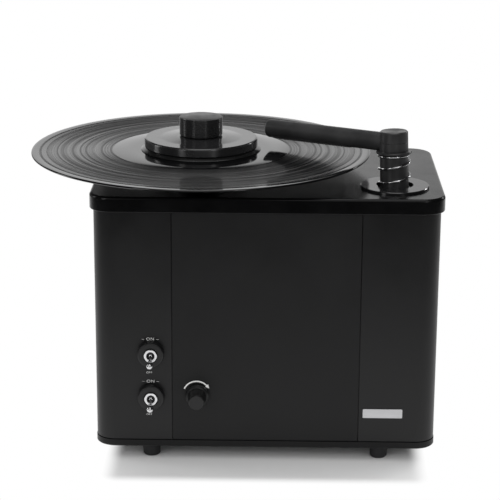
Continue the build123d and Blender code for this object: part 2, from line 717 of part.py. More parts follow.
def spring_seat():
    """Slip ring that lets spring and arm turn together on the guide."""
    return ring(SOCKET_BORE_R - CLEAR, RISER_R + 0.9, GUIDE_TOP + 0.05, GUIDE_TOP + SEAT_T,
                POST_X, POST_Y)


def arm_socket():
    """Turned cup through the top plate: flange, barrel, floor and hose spigot."""
    flange_top = PLATE_TOP + FLANGE_T
    floor = SOCKET_LOW + SOCKET_FLOOR_T
    spigot_low = SOCKET_LOW - SPIGOT_L
    bore = SPIGOT_R - SPIGOT_WALL
    outline = [(bore, spigot_low), (SPIGOT_R, spigot_low), (SPIGOT_R, SOCKET_LOW),
               (SOCKET_R, SOCKET_LOW), (SOCKET_R, PLATE_TOP), (FLANGE_R, PLATE_TOP),
               (FLANGE_R, flange_top - 0.5), (FLANGE_R - 0.5, flange_top),
               (SOCKET_BORE_R, flange_top), (SOCKET_BORE_R, floor), (bore, floor)]
    return turned(outline, POST_X, POST_Y)


def riser_guide():
    """Short guide bush in the socket; its mouth is eased at both ends."""
    bore = RISER_R + GUIDE_CLEARANCE
    low = GUIDE_TOP - GUIDE_T
    outline = [(bore + 0.8, low), (SOCKET_BORE_R, low), (SOCKET_BORE_R, GUIDE_TOP),
               (bore + 0.8, GUIDE_TOP), (bore, GUIDE_TOP - 1.5), (bore, low + 1.5)]
    return turned(outline, POST_X, POST_Y)


def socket_nut():
    """Hexagonal ring nut that clamps the socket to the top plate."""
    hexagon = extrude(RegularPolygon(SOCKET_NUT_R, 6) - Circle(SOCKET_R), SOCKET_NUT_T)
    return Pos(POST_X, POST_Y, CASE_TOP - SOCKET_NUT_T) * hexagon


# ---- hoses, tank and fan ---------------------------------------------------------------
def suction_hose():
    inner = SPIGOT_R + HOSE_SLIP
    low = LID_TOP + 0.5
    high = SOCKET_LOW - 0.5
    return ring(inner + HOSE_WALL, inner, low, high, POST_X, POST_Y)


def air_hose():
    """Hose from the tank lid over to the fan's intake, with two quarter bends."""
    inner = SPIGOT_R + HOSE_SLIP
    route = FilletPolyline((FAN_X, FAN_Y, FAN_TOP + 0.5), (FAN_X, FAN_Y, HOSE_TOP),
                           (AIR_SPIGOT_X, FAN_Y, HOSE_TOP), (AIR_SPIGOT_X, FAN_Y, LID_TOP + 0.5),
                           radius=HOSE_BEND_R)
    section = Plane(origin=route @ 0, z_dir=route % 0) * (Circle(inner + HOSE_WALL) - Circle(inner))
    return sweep(section, path=route)


def waste_tank():
    """Open moulded tank with rounded corners and a drain boss low on its rear wall."""
    outer = extrude(RectangleRounded(TANK_W, TANK_D, TANK_CORNER_R), TANK_H)
    inside = RectangleRounded(TANK_W - 2 * TANK_WALL, TANK_D - 2 * TANK_WALL,
                              TANK_CORNER_R - TANK_WALL)
    cavity = Pos(0, 0, TANK_WALL) * extrude(inside, TANK_H)
    tank = Pos(TANK_X, TANK_Y, TANK_LOW) * (outer - cavity)
    return tank - Pos(DRAIN_X, TANK_Y + TANK_D / 2, DRAIN_Z) * Rot(90, 0, 0) * Cylinder(DRAIN_R, 12)


def tank_lid():
    """Lid with its rim tongue and two hose spigots."""
    sheet = Pos(TANK_X, TANK_Y, TANK_TOP) * extrude(
        RectangleRounded(TANK_W, TANK_D, TANK_CORNER_R), LID_T)
    lid = sheet
    for x, y in ((POST_X, POST_Y), (AIR_SPIGOT_X, FAN_Y)):
        lid = lid + disc(SPIGOT_R, TANK_TOP, LID_TOP + SPIGOT_L, x, y)
        lid = lid - disc(SPIGOT_R - SPIGOT_WALL, TANK_TOP - 1, LID_TOP + SPIGOT_L + 1, x, y)
    return lid


def tank_pads():
    pad = Box(TANK_PAD_SIDE, TANK_PAD_SIDE, TANK_PAD_T)
    level = BASE_TOP + TANK_PAD_T / 2
    reach_x = TANK_W / 2 - TANK_PAD_SIDE
    reach_y = TANK_D / 2 - TANK_PAD_SIDE
    corners = [(i * reach_x, j * reach_y) for i in (-1, 1) for j in (-1, 1)]
    return Compound([Pos(TANK_X + x, TANK_Y + y, level) * pad for x, y in corners])


def drain_pipe():
    """Drain tail: flange inside the case, pipe out through the rear panel."""
    tank_wall = TANK_Y + TANK_D / 2
    end = REAR_Y + DRAIN_OUT
    start = tank_wall - TANK_WALL
    pipe = Cylinder(DRAIN_R, end - start) - Cylinder(DRAIN_BORE_R, end - start)
    collar = Cylinder(DRAIN_R + 4, 3) - Cylinder(DRAIN_BORE_R, 3)
    pipe = Pos(DRAIN_X, (start + end) / 2, DRAIN_Z) * Rot(90, 0, 0) * pipe
    return pipe + Pos(DRAIN_X, tank_wall + 1.5, DRAIN_Z) * Rot(90, 0, 0) * collar


def drain_cap():
    """Push-on cap over the drain tail, with a pull rim."""
    bore = DRAIN_R + CAP_FIT
    end = REAR_Y + DRAIN_OUT + 0.3
    depth = 14.0
    outline = [(bore, -depth), (bore + CAP_WALL + 1.5, -depth), (bore + CAP_WALL + 1.5, -depth + 3),
               (bore + CAP_WALL, -depth + 3.5), (bore + CAP_WALL, CAP_WALL - 1),
               (bore + CAP_WALL - 1, CAP_WALL), (0, CAP_WALL), (0, 0), (bore, 0)]
    return Pos(DRAIN_X, end, DRAIN_Z) * Rot(-90, 0, 0) * turned(outline)


def vacuum_fan():
    """Suction motor: fan chamber below, motor cover above, intake spigot on top."""
    chamber = FAN_LOW + 0.45 * FAN_H
    cover = FAN_R - 12
    bore = SPIGOT_R - SPIGOT_WALL
    spigot_top = FAN_TOP + SPIGOT_L
    outline = [(0, FAN_LOW), (FAN_R - 3, FAN_LOW), (FAN_R, FAN_LOW + 3), (FAN_R, chamber - 3),
               (FAN_R - 3, chamber), (cover, chamber + 3), (cover - 2, FAN_TOP - 5),
               (cover - 7, FAN_TOP), (SPIGOT_R, FAN_TOP), (SPIGOT_R, spigot_top),
               (bore, spigot_top), (bore, FAN_TOP - 10), (0, FAN_TOP - 10)]
    return turned(outline, FAN_X, FAN_Y)


def fan_pad():
    return ring(FAN_R - 4, FAN_R - 14, BASE_TOP, FAN_LOW, FAN_X, FAN_Y)


# ---- electrics -------------------------------------------------------------------------
def transformer():
    """Ring-core transformer standing on the base plate."""
    with BuildPart() as body:
        with BuildSketch(Plane.XZ):
            with Locations((CORE_R, CORE_H / 2 + CORE_PAD_T)):
                RectangleRounded(CORE_W, CORE_H, CORE_W / 3)
        revolve(axis=Axis.Z)
    return Pos(CORE_X, CORE_Y, BASE_TOP) * body.part


def transformer_bolt():
    """Clamping bolt with a dished washer at each end of the ring core."""
    top = CORE_H + 2 * CORE_PAD_T
    bolt = disc(CORE_BOLT_R, 0, top)
    for low in (0, top - CORE_PAD_T):
        bolt = bolt + disc(CORE_R, low, low + CORE_PAD_T)
    return Pos(CORE_X, CORE_Y, BASE_TOP) * bolt


def control_board():
    """Speed-control board on four pillars, with its heat sink and capacitors."""
    deck = BOARD_LIFT + BOARD_T
    board = Pos(0, 0, BOARD_LIFT) * extrude(Rectangle(BOARD_W, BOARD_D), BOARD_T)
    reach_x = BOARD_W / 2 - PILLAR_INSET
    reach_y = BOARD_D / 2 - PILLAR_INSET
    for i in (-1, 1):
        for j in (-1, 1):
            board = board + disc(PILLAR_R, 0, BOARD_LIFT, i * reach_x, j * reach_y)
    sink = Pos(-SINK_FROM_CENTRE, 0, deck + SINK_H / 2) * Box(SINK_W, SINK_L, SINK_H)
    for i in range(SINK_CUTS):
        x = (i - (SINK_CUTS - 1) / 2) * SINK_CUT_PITCH - SINK_FROM_CENTRE
        sink = sink - Pos(x, 0, deck + SINK_H / 2 + 2) * Box(SINK_CUT_W, SINK_L + 1, SINK_H)
    board = board + sink
    for j in (-1, 1):
        y = j * CAPACITOR_HALF
        board = board + disc(CAPACITOR_R, deck, deck + CAPACITOR_H, CAPACITOR_R + 2, y)
    return Pos(CORE_X, BOARD_Y, BASE_TOP) * board


def power_inlet():
    """Appliance inlet: flange outside the rear panel, deep shroud inside it."""
    flange = extrude(RectangleRounded(INLET_FLANGE_W, INLET_FLANGE_H, 4), INLET_FLANGE_T)
    shroud = extrude(Rectangle(INLET_W, INLET_H), -INLET_DEPTH)
    mouth = chamfer(Rectangle(INLET_W - 3, INLET_H - 3.5).vertices().group_by(Axis.Y)[-1], 4.5)
    cavity = Pos(0, 0, -INLET_DEPTH + 3) * extrude(mouth, INLET_DEPTH + INLET_FLANGE_T)
    return Pos(INLET_X, REAR_Y - PANEL_RECESS, INLET_Z) * Rot(-90, 0, 0) * (flange + shroud - cavity)


def inlet_pins():
    """Three flat contact pins in the inlet."""
    length = INLET_DEPTH - 6
    middle = 3 - INLET_DEPTH + length / 2
    places = ((-7, 1.0), (7, 1.0), (0, -3.0))
    pins = [Pos(x, z, middle) * Box(2, 4, length) for x, z in places]
    seat = Pos(INLET_X, REAR_Y - PANEL_RECESS, INLET_Z)
    return Compound([seat * Rot(-90, 0, 0) * pin for pin in pins])


# ---- controls --------------------------------------------------------------------------
def on_front(shape, x, z, y=FRONT_Y):
    """Set a turned piece on the front face, its own +Z pointing out to the user."""
    return Pos(x, y, z) * Rot(90, 0, 0) * shape


def at_toggles(shape, y=FRONT_Y):
    return Compound([on_front(shape, TOGGLE_X, z, y) for z in (TOGGLE_HIGH_Z, TOGGLE_LOW_Z)])


def switch_collars():
    """Thick round escutcheons with a rolled front edge and a well for the nut."""
    with BuildPart() as body:
        with BuildSketch(Plane.XZ):
            with BuildLine():
                edge = COLLAR_T - COLLAR_EDGE_R
                Polyline((BUSH_R + 0.05, 0), (COLLAR_R, 0), (COLLAR_R, edge))
                RadiusArc((COLLAR_R, edge), (COLLAR_R - COLLAR_EDGE_R, COLLAR_T), -COLLAR_EDGE_R)
                Polyline((COLLAR_R - COLLAR_EDGE_R, COLLAR_T), (NUT_R + 1.0, COLLAR_T),
                         (NUT_R + 0.6, COLLAR_T - 0.8), (BUSH_R + 0.05, COLLAR_T - 0.8),
                         (BUSH_R + 0.05, 0))
            make_face()
        revolve(axis=Axis.Z)
    return at_toggles(body.part)


def switch_nuts():
    """Six-sided dress nuts with their corners turned almost round."""
    low = COLLAR_T - 0.8
    blank = extrude(RegularPolygon(NUT_R + NUT_CORNER, 6), NUT_T) & Cylinder(NUT_R, 2 * NUT_T)
    nut = blank - Cylinder(BUSH_R + 0.02, 3 * NUT_T)
    return at_toggles(Pos(0, 0, low) * nut)


def switch_bodies():
    """Toggle switches: threaded bush, rectangular body and three solder tags."""
    face = COLLAR_T + NUT_T - 0.2
    pivot = FRONT_Y - PIVOT_Y
    mouth = tan(radians(LEVER_DOWN)) * (face - pivot) + LEVER_NECK_R / cos(radians(LEVER_DOWN)) + 0.25
    bush = disc(BUSH_R, -WALL - 0.5, face)
    throat = Pos(0, 0, (face + pivot) / 2) * Cone(LEVER_NECK_R + 0.6, mouth, face - pivot)
    bush = bush - throat - Pos(0, 0, pivot) * Sphere(LEVER_BALL_R + 0.15)
    pin_bore = Rot(0, 90, 0) * Cylinder(LEVER_PIN_R + RUNNING, LEVER_PIN_L + 0.2)
    bush = bush - Pos(0, 0, pivot) * pin_bore
    low = -WALL - SWITCH_D
    case = Pos(0, 0, (low - WALL - 0.1) / 2) * Box(SWITCH_W, SWITCH_H, SWITCH_D - 0.1)
    tags = [Pos(0, i * 7, low - 3) * Box(4, 0.8, 7) for i in (-1, 0, 1)]
    return at_toggles(bush + case + tags)


def lever(z):
    """Toggle lever pointing down: pivot ball and pin, slim neck and swelling rounded tip."""
    tip_centre = LEVER_LENGTH - LEVER_TIP_R
    with BuildPart() as bat:
        with BuildSketch(Plane.XZ):
            with BuildLine():
                Line((0, 0), (LEVER_NECK_R, 0))
                Line((LEVER_NECK_R, 0), (LEVER_NECK_R, 4.0))
                Spline((LEVER_NECK_R, 4.0), (LEVER_TIP_R - 0.7, 9.5), (LEVER_TIP_R, tip_centre),
                       tangents=((0, 1), (0, 1)))
                RadiusArc((LEVER_TIP_R, tip_centre), (0, LEVER_LENGTH), -LEVER_TIP_R)
                Line((0, LEVER_LENGTH), (0, 0))
            make_face()
        revolve(axis=Axis.Z)
    pin = Rot(0, 90, 0) * Cylinder(LEVER_PIN_R, LEVER_PIN_L)
    piece = bat.part + Sphere(LEVER_BALL_R) + pin
    return Pos(TOGGLE_X, PIVOT_Y, z) * Rot(90 + LEVER_DOWN, 0, 0) * piece


def speed_knob():
    """Skirted knob with a slim fluted body and a slightly domed face."""
    low = SPEED_PANEL_GAP
    outline = [(POT_SHAFT_R, low + 1), (SPEED_SKIRT_R - 0.8, low), (SPEED_SKIRT_R, low + 0.8),
               (SPEED_SKIRT_R, low + SPEED_SKIRT_T - 1), (SPEED_SKIRT_R - 1, low + SPEED_SKIRT_T),
               (SPEED_BODY_R, low + SPEED_SKIRT_T + 0.8), (SPEED_FACE_R, SPEED_REACH - 0.9),
               (SPEED_FACE_R - 0.9, SPEED_REACH), (0, SPEED_REACH), (0, SPEED_REACH - 3),
               (POT_SHAFT_R, SPEED_REACH - 3)]
    body = turned(outline)
    length = SPEED_REACH - SPEED_SKIRT_T - 3
    flute = Pos(SPEED_BODY_R + 0.1, 0, SPEED_REACH - length / 2 - 1.5) * Rot(0, -5.5, 0)
    for i in range(SPEED_FLUTES):
        body = body - Rot(0, 0, i * 360 / SPEED_FLUTES) * flute * Cylinder(0.55, length)
    return on_front(body, SPEED_X, SPEED_Z)


def speed_shaft():
    return on_front(disc(POT_SHAFT_R, -WALL - 4.0, SPEED_REACH - 3), SPEED_X, SPEED_Z)


def speed_pot():
    """Panel potentiometer: can, neck bush, nut and side tags."""
    back = -PANEL_RECESS - PANEL_T
    can = disc(POT_R, back - POT_T - 1.6, back - 1.6)
    neck = disc(POT_SHAFT_R + 0.9, back - 1.6, CLEAR - PANEL_RECESS)
    bore = disc(POT_SHAFT_R + RUNNING, -WALL - 4.3, 1)
    tags = [Pos(i * 5, -POT_R - 3, back - 5) * Box(2.2, 8, 0.8) for i in (-1, 0, 1)]
    return on_front(can + neck + tags - bore, SPEED_X, SPEED_Z)


PIECES = {
    "base_plate": base_plate, "base_gasket": base_gasket, "feet": feet,
    "left_side_shell": lambda: side_shell(-1), "right_side_shell": lambda: side_shell(1),
    "front_panel": front_panel, "rear_panel": rear_panel, "top_plate": top_plate,
    "bearing_housing": bearing_housing, "spindle_bearings": spindle_bearings,
    "spindle": spindle, "platter_hub": platter_hub, "platter": platter,
    "platter_mat": platter_mat, "record": record, "motor_coupling": motor_coupling,
    "motor_shaft": motor_shaft, "motor_standoffs": motor_standoffs,
    "motor_bracket": motor_bracket, "gear_motor": gear_motor, "clamp_disc": clamp_disc,
    "clamp_seal": clamp_seal, "clamp_knob": clamp_knob, "clamp_insert": clamp_insert,
    "clamp_retainer": clamp_retainer, "arm_tube": arm_tube, "arm_end_cap": arm_end_cap,
    "arm_pads": arm_pads, "arm_head": arm_head, "arm_riser": arm_riser,
    "riser_stop": riser_stop, "arm_spring": arm_spring, "spring_seat": spring_seat,
    "arm_socket": arm_socket, "riser_guide": riser_guide, "socket_nut": socket_nut,
    "suction_hose": suction_hose, "air_hose": air_hose, "waste_tank": waste_tank,
    "tank_lid": tank_lid, "tank_pads": tank_pads, "drain_pipe": drain_pipe,
    "drain_cap": drain_cap, "vacuum_fan": vacuum_fan, "fan_pad": fan_pad,
    "transformer": transformer, "transformer_bolt": transformer_bolt,
    "control_board": control_board, "power_inlet": power_inlet, "inlet_pins": inlet_pins,
    "switch_collars": switch_collars, "switch_nuts": switch_nuts,
    "switch_bodies": switch_bodies, "platter_lever": lambda: lever(TOGGLE_HIGH_Z),
    "vacuum_lever": lambda: lever(TOGGLE_LOW_Z), "speed_knob": speed_knob,
    "speed_shaft": speed_shaft, "speed_pot": speed_pot,
}

for name, make in PIECES.items():
    save(name, make())
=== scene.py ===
"""A vacuum-arm record cleaning machine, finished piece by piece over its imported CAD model.

Metres, +Z up, front towards -Y, origin on the table under the middle of the footprint.
"""
import math

import bmesh
import bpy
from mathutils import Matrix, Vector


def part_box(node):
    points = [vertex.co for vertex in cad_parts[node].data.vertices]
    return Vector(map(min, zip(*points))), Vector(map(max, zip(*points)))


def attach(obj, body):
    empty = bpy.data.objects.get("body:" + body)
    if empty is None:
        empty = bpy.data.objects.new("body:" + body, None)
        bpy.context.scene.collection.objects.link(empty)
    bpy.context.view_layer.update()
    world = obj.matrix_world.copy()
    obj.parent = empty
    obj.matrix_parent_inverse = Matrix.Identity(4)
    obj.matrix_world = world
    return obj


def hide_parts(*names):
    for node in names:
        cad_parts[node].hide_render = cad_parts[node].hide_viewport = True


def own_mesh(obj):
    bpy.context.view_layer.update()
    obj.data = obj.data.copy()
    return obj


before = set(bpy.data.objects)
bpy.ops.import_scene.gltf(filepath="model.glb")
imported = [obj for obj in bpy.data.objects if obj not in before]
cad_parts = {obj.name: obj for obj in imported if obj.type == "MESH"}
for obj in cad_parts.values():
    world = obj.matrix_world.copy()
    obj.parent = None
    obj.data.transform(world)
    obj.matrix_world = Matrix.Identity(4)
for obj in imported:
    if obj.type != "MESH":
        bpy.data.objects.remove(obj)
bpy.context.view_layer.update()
scene = bpy.context.scene
scene.view_settings.view_transform = "Standard"

# ---- Where the viewer stands -----------------------------------------------------
# A long lens a pace and a half in front of the machine, looking down on the record by 17
# degrees. It is turned a little to the left and tipped over by a third of a degree.


def put(name, data):
    """A new object of that name in the scene."""
    made = bpy.data.objects.new(name, data)
    scene.collection.objects.link(made)
    return made


camera_data = bpy.data.cameras.new("viewer")
camera_data.lens, camera_data.sensor_width = 129.6, 36.0
camera_data.shift_x, camera_data.shift_y = -0.005, 0.0034
camera = put("viewer", camera_data)
scene.camera = camera

eye = Vector((0.0372, -1.5674, 0.6259))
turn_right, look_down, tip_over = -0.0134, 0.2887, 0.0061
ahead = Vector((math.sin(turn_right) * math.cos(look_down),
                math.cos(turn_right) * math.cos(look_down), -math.sin(look_down)))
level_right = Vector((math.cos(turn_right), -math.sin(turn_right), 0))
level_up = level_right.cross(ahead)
right = math.cos(tip_over) * level_right + math.sin(tip_over) * level_up
up = -math.sin(tip_over) * level_right + math.cos(tip_over) * level_up
stand = Matrix((right, up, -ahead)).transposed().to_4x4()
stand.translation = eye
camera.matrix_world = stand

# ---- Studio ----------------------------------------------------------------------
# A white cyclorama behind the table, a dim room with a skylight and a front window, and five
# soft lamps. The pale table is lit to white and keeps the shadow under the machine.
room = bpy.data.worlds.new("studio")
scene.world = room
room.use_nodes = True
room.node_tree.nodes.clear()


def add(look, kind, settings=(), **inputs):
    """A shader node of a finish or of the room, with its settings and inputs filled in."""
    made = look.node_tree.nodes.new("ShaderNode" + kind)
    for key, value in dict(settings).items():
        setattr(made, key, value)
    for key, value in inputs.items():
        made.inputs[key.replace("_", " ")].default_value = value
    return made


def join(look, start, stop):
    """A link between two sockets of a finish or of the room."""
    look.node_tree.links.new(start, stop)


def room_math(operation, first, second):
    """A sum on two values of the room's light; either may be a socket or a number."""
    made = add(room, "Math", {"operation": operation})
    for socket, value in zip(made.inputs, (first, second)):
        if isinstance(value, (int, float)):
            socket.default_value = value
        else:
            join(room, value, socket)
    return made.outputs[0]


def room_ramp(value, start, stop, low, high):
    """A smooth step of the room's brightness, from low to high as a direction's value rises."""
    made = add(room, "MapRange", {"interpolation_type": "SMOOTHSTEP"}, From_Min=start,
               From_Max=stop, To_Min=low, To_Max=high)
    join(room, value, made.inputs["Value"])
    return made.outputs["Result"]


direction = add(room, "SeparateXYZ")
join(room, add(room, "TexCoord").outputs["Generated"], direction.inputs[0])
rightwards, backwards, upwards = direction.outputs
sideways = room_math("ABSOLUTE", rightwards, 0.0)
towards_back = room_ramp(backwards, start=0.0, stop=0.45, low=0.0, high=1.0)
below_ceiling = room_ramp(upwards, start=0.36, stop=0.44, low=1.0, high=0.0)
between_walls = room_ramp(sideways, start=0.30, stop=0.44, low=1.0, high=0.22)
duller_right = room_ramp(rightwards, start=0.015, stop=0.085, low=1.0, high=0.75)
cyclorama = towards_back
for share in (below_ceiling, between_walls, duller_right):
    cyclorama = room_math("MULTIPLY", cyclorama, share)
skylight = room_math("MULTIPLY", room_ramp(upwards, start=0.80, stop=0.95, low=0.0, high=1.6),
                     room_ramp(sideways, start=0.15, stop=0.35, low=1.0, high=0.0))
front_wall = room_ramp(backwards, start=-0.90, stop=-0.55, low=1.0, high=0.0)
front_window = room_math("MULTIPLY", front_wall,
                         room_ramp(upwards, start=0.30, stop=0.45, low=0.0, high=1.1))
dim_room, soft_fill = 0.004, 0.78
seen_in_gloss = room_math("ADD", room_math("ADD", cyclorama, skylight),
                          room_math("ADD", front_window, dim_room))

# Polished pieces mirror the room, dull ones take an even fill, and the backdrop is white.
rays = add(room, "LightPath")
level = room_math("MULTIPLY", rays.outputs["Is Glossy Ray"],
                  room_math("SUBTRACT", seen_in_gloss, soft_fill))
level = room_math("ADD", level, soft_fill)
seen_straight = room_math("MAXIMUM", rays.outputs["Is Camera Ray"],
                          rays.outputs["Is Transmission Ray"])
level = room_math("MAXIMUM", level, seen_straight)
backdrop = add(room, "Background", Color=(1, 1, 1, 1))
join(room, level, backdrop.inputs["Strength"])
join(room, backdrop.outputs[0], add(room, "OutputWorld").inputs["Surface"])


def soft_lamp(name, place, aim, width, height, watts, in_gloss):
    """A soft rectangular lamp that may or may not show in polished pieces."""
    data = bpy.data.lights.new(name, "AREA")
    data.shape = "RECTANGLE"
    data.size, data.size_y = width, height
    data.energy = watts
    lamp = put(name, data)
    lamp.location = place
    lamp.rotation_euler = (Vector(aim) - Vector(place)).to_track_quat("-Z", "Y").to_euler()
    lamp.visible_camera = False
    lamp.visible_glossy = in_gloss


# Each lamp has its place, the point that it is aimed at, its width and its height.
soft_lamp("overhead_lamp", (0.1, 0.5, 1.6), (0.03, 0, 0.1), 1.6, 1.2, watts=16.0, in_gloss=False)
soft_lamp("left_lamp", (-2.0, -2.6, 1.3), (0, 0, 0.2), 0.6, 1.2, watts=9.0, in_gloss=True)
soft_lamp("right_lamp", (0.68, -1.34, 0.95), (0, 0, 0.2), 0.22, 0.5, watts=1.6, in_gloss=True)
soft_lamp("side_lamp", (-1.6, 0.25, 0.7), (0, 0, 0.2), 0.3, 0.9, watts=3.0, in_gloss=True)
soft_lamp("corner_lamp", (1.5, 1.28, 1.05), (0.15, -0.06, 0.24), 0.26, 0.3, watts=3.0,
          in_gloss=True)


def finish(name, colour, roughness, metal=0.0, gloss=0.5, **skin):
    """A finish of that name: colour, roughness, share of metal, gloss and more of its skin."""
    look = bpy.data.materials.get(name) or bpy.data.materials.new(name)
    look.use_nodes = True
    look.node_tree.nodes.clear()
    shader = add(look, "BsdfPrincipled", Base_Color=(*colour, 1), Roughness=roughness,
                 Metallic=metal, Specular_IOR_Level=gloss, **skin)
    shader.name = "skin"
    join(look, shader.outputs[0], add(look, "OutputMaterial").inputs["Surface"])
    return look


# The paper takes light and shadow near the machine and fades to plain white round it.
shaded_middle, shaded_half, fade_width = (0.03, -0.012, 0), (0.125, 0.125, 1), 0.017
paper = finish("table_paper", (0.92, 0.92, 0.92), roughness=0.6, gloss=0.2)
glow = add(paper, "Emission", Strength=1.0)
fade = add(paper, "MapRange", {"interpolation_type": "SMOOTHSTEP"}, From_Max=fade_width)
blend = add(paper, "MixShader")
reach = add(paper, "TexCoord").outputs["Object"]
for operation, value in (("SUBTRACT", shaded_middle), ("ABSOLUTE", None),
                         ("SUBTRACT", shaded_half), ("MAXIMUM", (0, 0, 0)), ("LENGTH", None)):
    made = add(paper, "VectorMath", {"operation": operation})
    join(paper, reach, made.inputs[0])
    if value:
        made.inputs[1].default_value = value
    reach = made.outputs["Value" if operation == "LENGTH" else "Vector"]
join(paper, reach, fade.inputs["Value"])
join(paper, fade.outputs["Result"], blend.inputs[0])
join(paper, paper.node_tree.nodes["skin"].outputs[0], blend.inputs[1])
join(paper, glow.outputs[0], blend.inputs[2])
join(paper, blend.outputs[0], paper.node_tree.nodes["Material Output"].inputs["Surface"])


def as_mesh(name, shape, *looks):
    """Keeps a finished shape as a mesh in its finishes."""
    mesh = bpy.data.meshes.new(name)
    shape.to_mesh(mesh)
    shape.free()
    for look in looks:
        mesh.materials.append(look)
    return mesh


table_middle, table_radius, table_drop = (0.03, 0.3), 0.9, 0.0002
sheet = bmesh.new()
bmesh.ops.create_circle(sheet, cap_ends=True, radius=table_radius, segments=96,
                        matrix=Matrix.Translation((*table_middle, -table_drop)))
table_top = put("table_top", as_mesh("table_top", sheet, paper))

# ---- Rubber feet and gasket ------------------------------------------------------
# Four turned rubber feet under the base plate, each held by one screw up its middle, and the
# thin rubber frame between base plate and case. Moulded black rubber with a dull bloom.


def on_piece(look, stretch=(1, 1, 1), centre=(0, 0, 0)):
    """The place on the piece in metres, measured from a centre and stretched."""
    moved = add(look, "Mapping", {"vector_type": "TEXTURE"}, Location=centre)
    stretched = add(look, "VectorMath", {"operation": "MULTIPLY"})
    stretched.inputs[1].default_value = stretch
    join(look, add(look, "TexCoord").outputs["Object"], moved.inputs["Vector"])
    join(look, moved.outputs[0], stretched.inputs[0])
    return stretched.outputs[0]


def press(look, height, depth):
    """Presses a height pattern into the surface, over any relief that it has already."""
    skin = look.node_tree.nodes["skin"]
    bump = add(look, "Bump", Distance=depth, Strength=1.0)
    if skin.inputs["Normal"].is_linked:
        join(look, skin.inputs["Normal"].links[0].from_socket, bump.inputs["Normal"])
    join(look, height, bump.inputs["Height"])
    join(look, bump.outputs["Normal"], skin.inputs["Normal"])


def grain(look, size, depth, stretch=(1, 1, 1), detail=2.0):
    """Fine relief of that size and depth in metres, stretched along an axis where wanted."""
    noise = add(look, "TexNoise", Scale=1 / size, Detail=detail, Roughness=0.55)
    join(look, on_piece(look, stretch), noise.inputs["Vector"])
    press(look, noise.outputs["Fac"], depth)


def spread(look, value, low, high, start=0.3, stop=0.7):
    """Spreads a pattern's middle range over two values."""
    made = add(look, "MapRange", From_Min=start, From_Max=stop, To_Min=low, To_Max=high)
    join(look, value, made.inputs["Value"])
    return made.outputs["Result"]


def wear(look, size, colour, roughness, stretch=(1, 1, 1)):
    """Slow variation by those shares, as handling, dust and uneven coating leave."""
    skin = look.node_tree.nodes["skin"]
    noise = add(look, "TexNoise", Scale=1 / size, Detail=5.0, Roughness=0.6)
    join(look, on_piece(look, stretch), noise.inputs["Vector"])
    if roughness:
        plain = skin.inputs["Roughness"].default_value
        rubbed = spread(look, noise.outputs["Fac"], plain * (1 - roughness),
                        plain * (1 + roughness))
        join(look, rubbed, skin.inputs["Roughness"])
    if colour:
        plain = skin.inputs["Base Color"].default_value[:3]
        tint = add(look, "Mix", {"data_type": "RGBA"})
        for socket, share in ((tint.inputs[6], 1 - colour), (tint.inputs[7], 1 + colour)):
            socket.default_value = [part * share for part in plain] + [1]
        join(look, spread(look, noise.outputs["Fac"], 0.0, 1.0), tint.inputs[0])
        join(look, tint.outputs[2], skin.inputs["Base Color"])


rubber = finish("black_rubber", (0.012, 0.012, 0.013), roughness=0.62, gloss=0.35)
grain(rubber, size=0.0006, depth=0.00006)
wear(rubber, size=0.012, colour=0.35, roughness=0.15)

# ---- Base plate ------------------------------------------------------------------
# A flat steel plate a little proud of the case, dipped in dull black paint, with four screws
# up into the screw ports of the side extrusions and one through each foot.
base_paint = finish("base_black", (0.003, 0.003, 0.0032), roughness=0.42, gloss=0.25)
grain(base_paint, size=0.0009, depth=0.00003)
wear(base_paint, size=0.03, colour=0.3, roughness=0.2)


def plan(name, **inputs):
    """An empty shaping plan with its named sizes; gives the plan, its maker and its sizes."""
    tree = bpy.data.node_groups.new(name, "GeometryNodeTree")
    tree.interface.new_socket("Geometry", in_out="INPUT", socket_type="NodeSocketGeometry")
    tree.interface.new_socket("Geometry", in_out="OUTPUT", socket_type="NodeSocketGeometry")
    for key, kind in inputs.items():
        tree.interface.new_socket(key.replace("_", " "), in_out="INPUT",
                                  socket_type="NodeSocket" + kind)

    def step(kind, settings=(), **values):
        """A node of the plan, its inputs given by name or, as i0 and i1, by number."""
        made = tree.nodes.new(kind)
        for key, value in dict(settings).items():
            setattr(made, key, value)
        for key, value in values.items():
            by_number = key[0] == "i" and key[1:].isdigit()
            socket = made.inputs[int(key[1:]) if by_number else key.replace("_", " ")]
            if isinstance(value, bpy.types.NodeSocket):
                tree.links.new(value, socket)
            else:
                socket.default_value = value
        return made

    return tree, step, step("NodeGroupInput").outputs


def sum_of(operation, first, second):
    """A sum inside the shaping plan being made."""
    return step("ShaderNodeMath", {"operation": operation}, i0=first, i1=second).outputs[0]


def close(geometry, look):
    """Ends the plan being made: real faces instead of copies, in their finish."""
    real = step("GeometryNodeRealizeInstances", Geometry=geometry)
    painted = step("GeometryNodeSetMaterial", Geometry=real.outputs[0], Material=look)
    step("NodeGroupOutput", Geometry=painted.outputs[0])


def plain_mesh(carrier, look):
    """The plain mesh that an object's plan or lettering gives, in its finish."""
    ready = carrier.evaluated_get(bpy.context.evaluated_depsgraph_get())
    mesh = bpy.data.meshes.new_from_object(ready)
    mesh.materials.clear()
    mesh.materials.append(look)
    bpy.data.objects.remove(carrier)
    return mesh


def made_by(tree, name, seed_mesh, look, **sizes):
    """Runs a plan on a mesh of points or faces and keeps the result as a plain mesh."""
    carrier = put(name + "_carrier", seed_mesh)
    shaping = carrier.modifiers.new(name, "NODES")
    shaping.node_group = tree
    labels = {item.name: item.identifier for item in tree.interface.items_tree
              if item.in_out == "INPUT"}
    for key, value in sizes.items():
        shaping[labels[key.replace("_", " ")]] = value
    mesh = plain_mesh(carrier, look)
    mesh.name = name
    return mesh


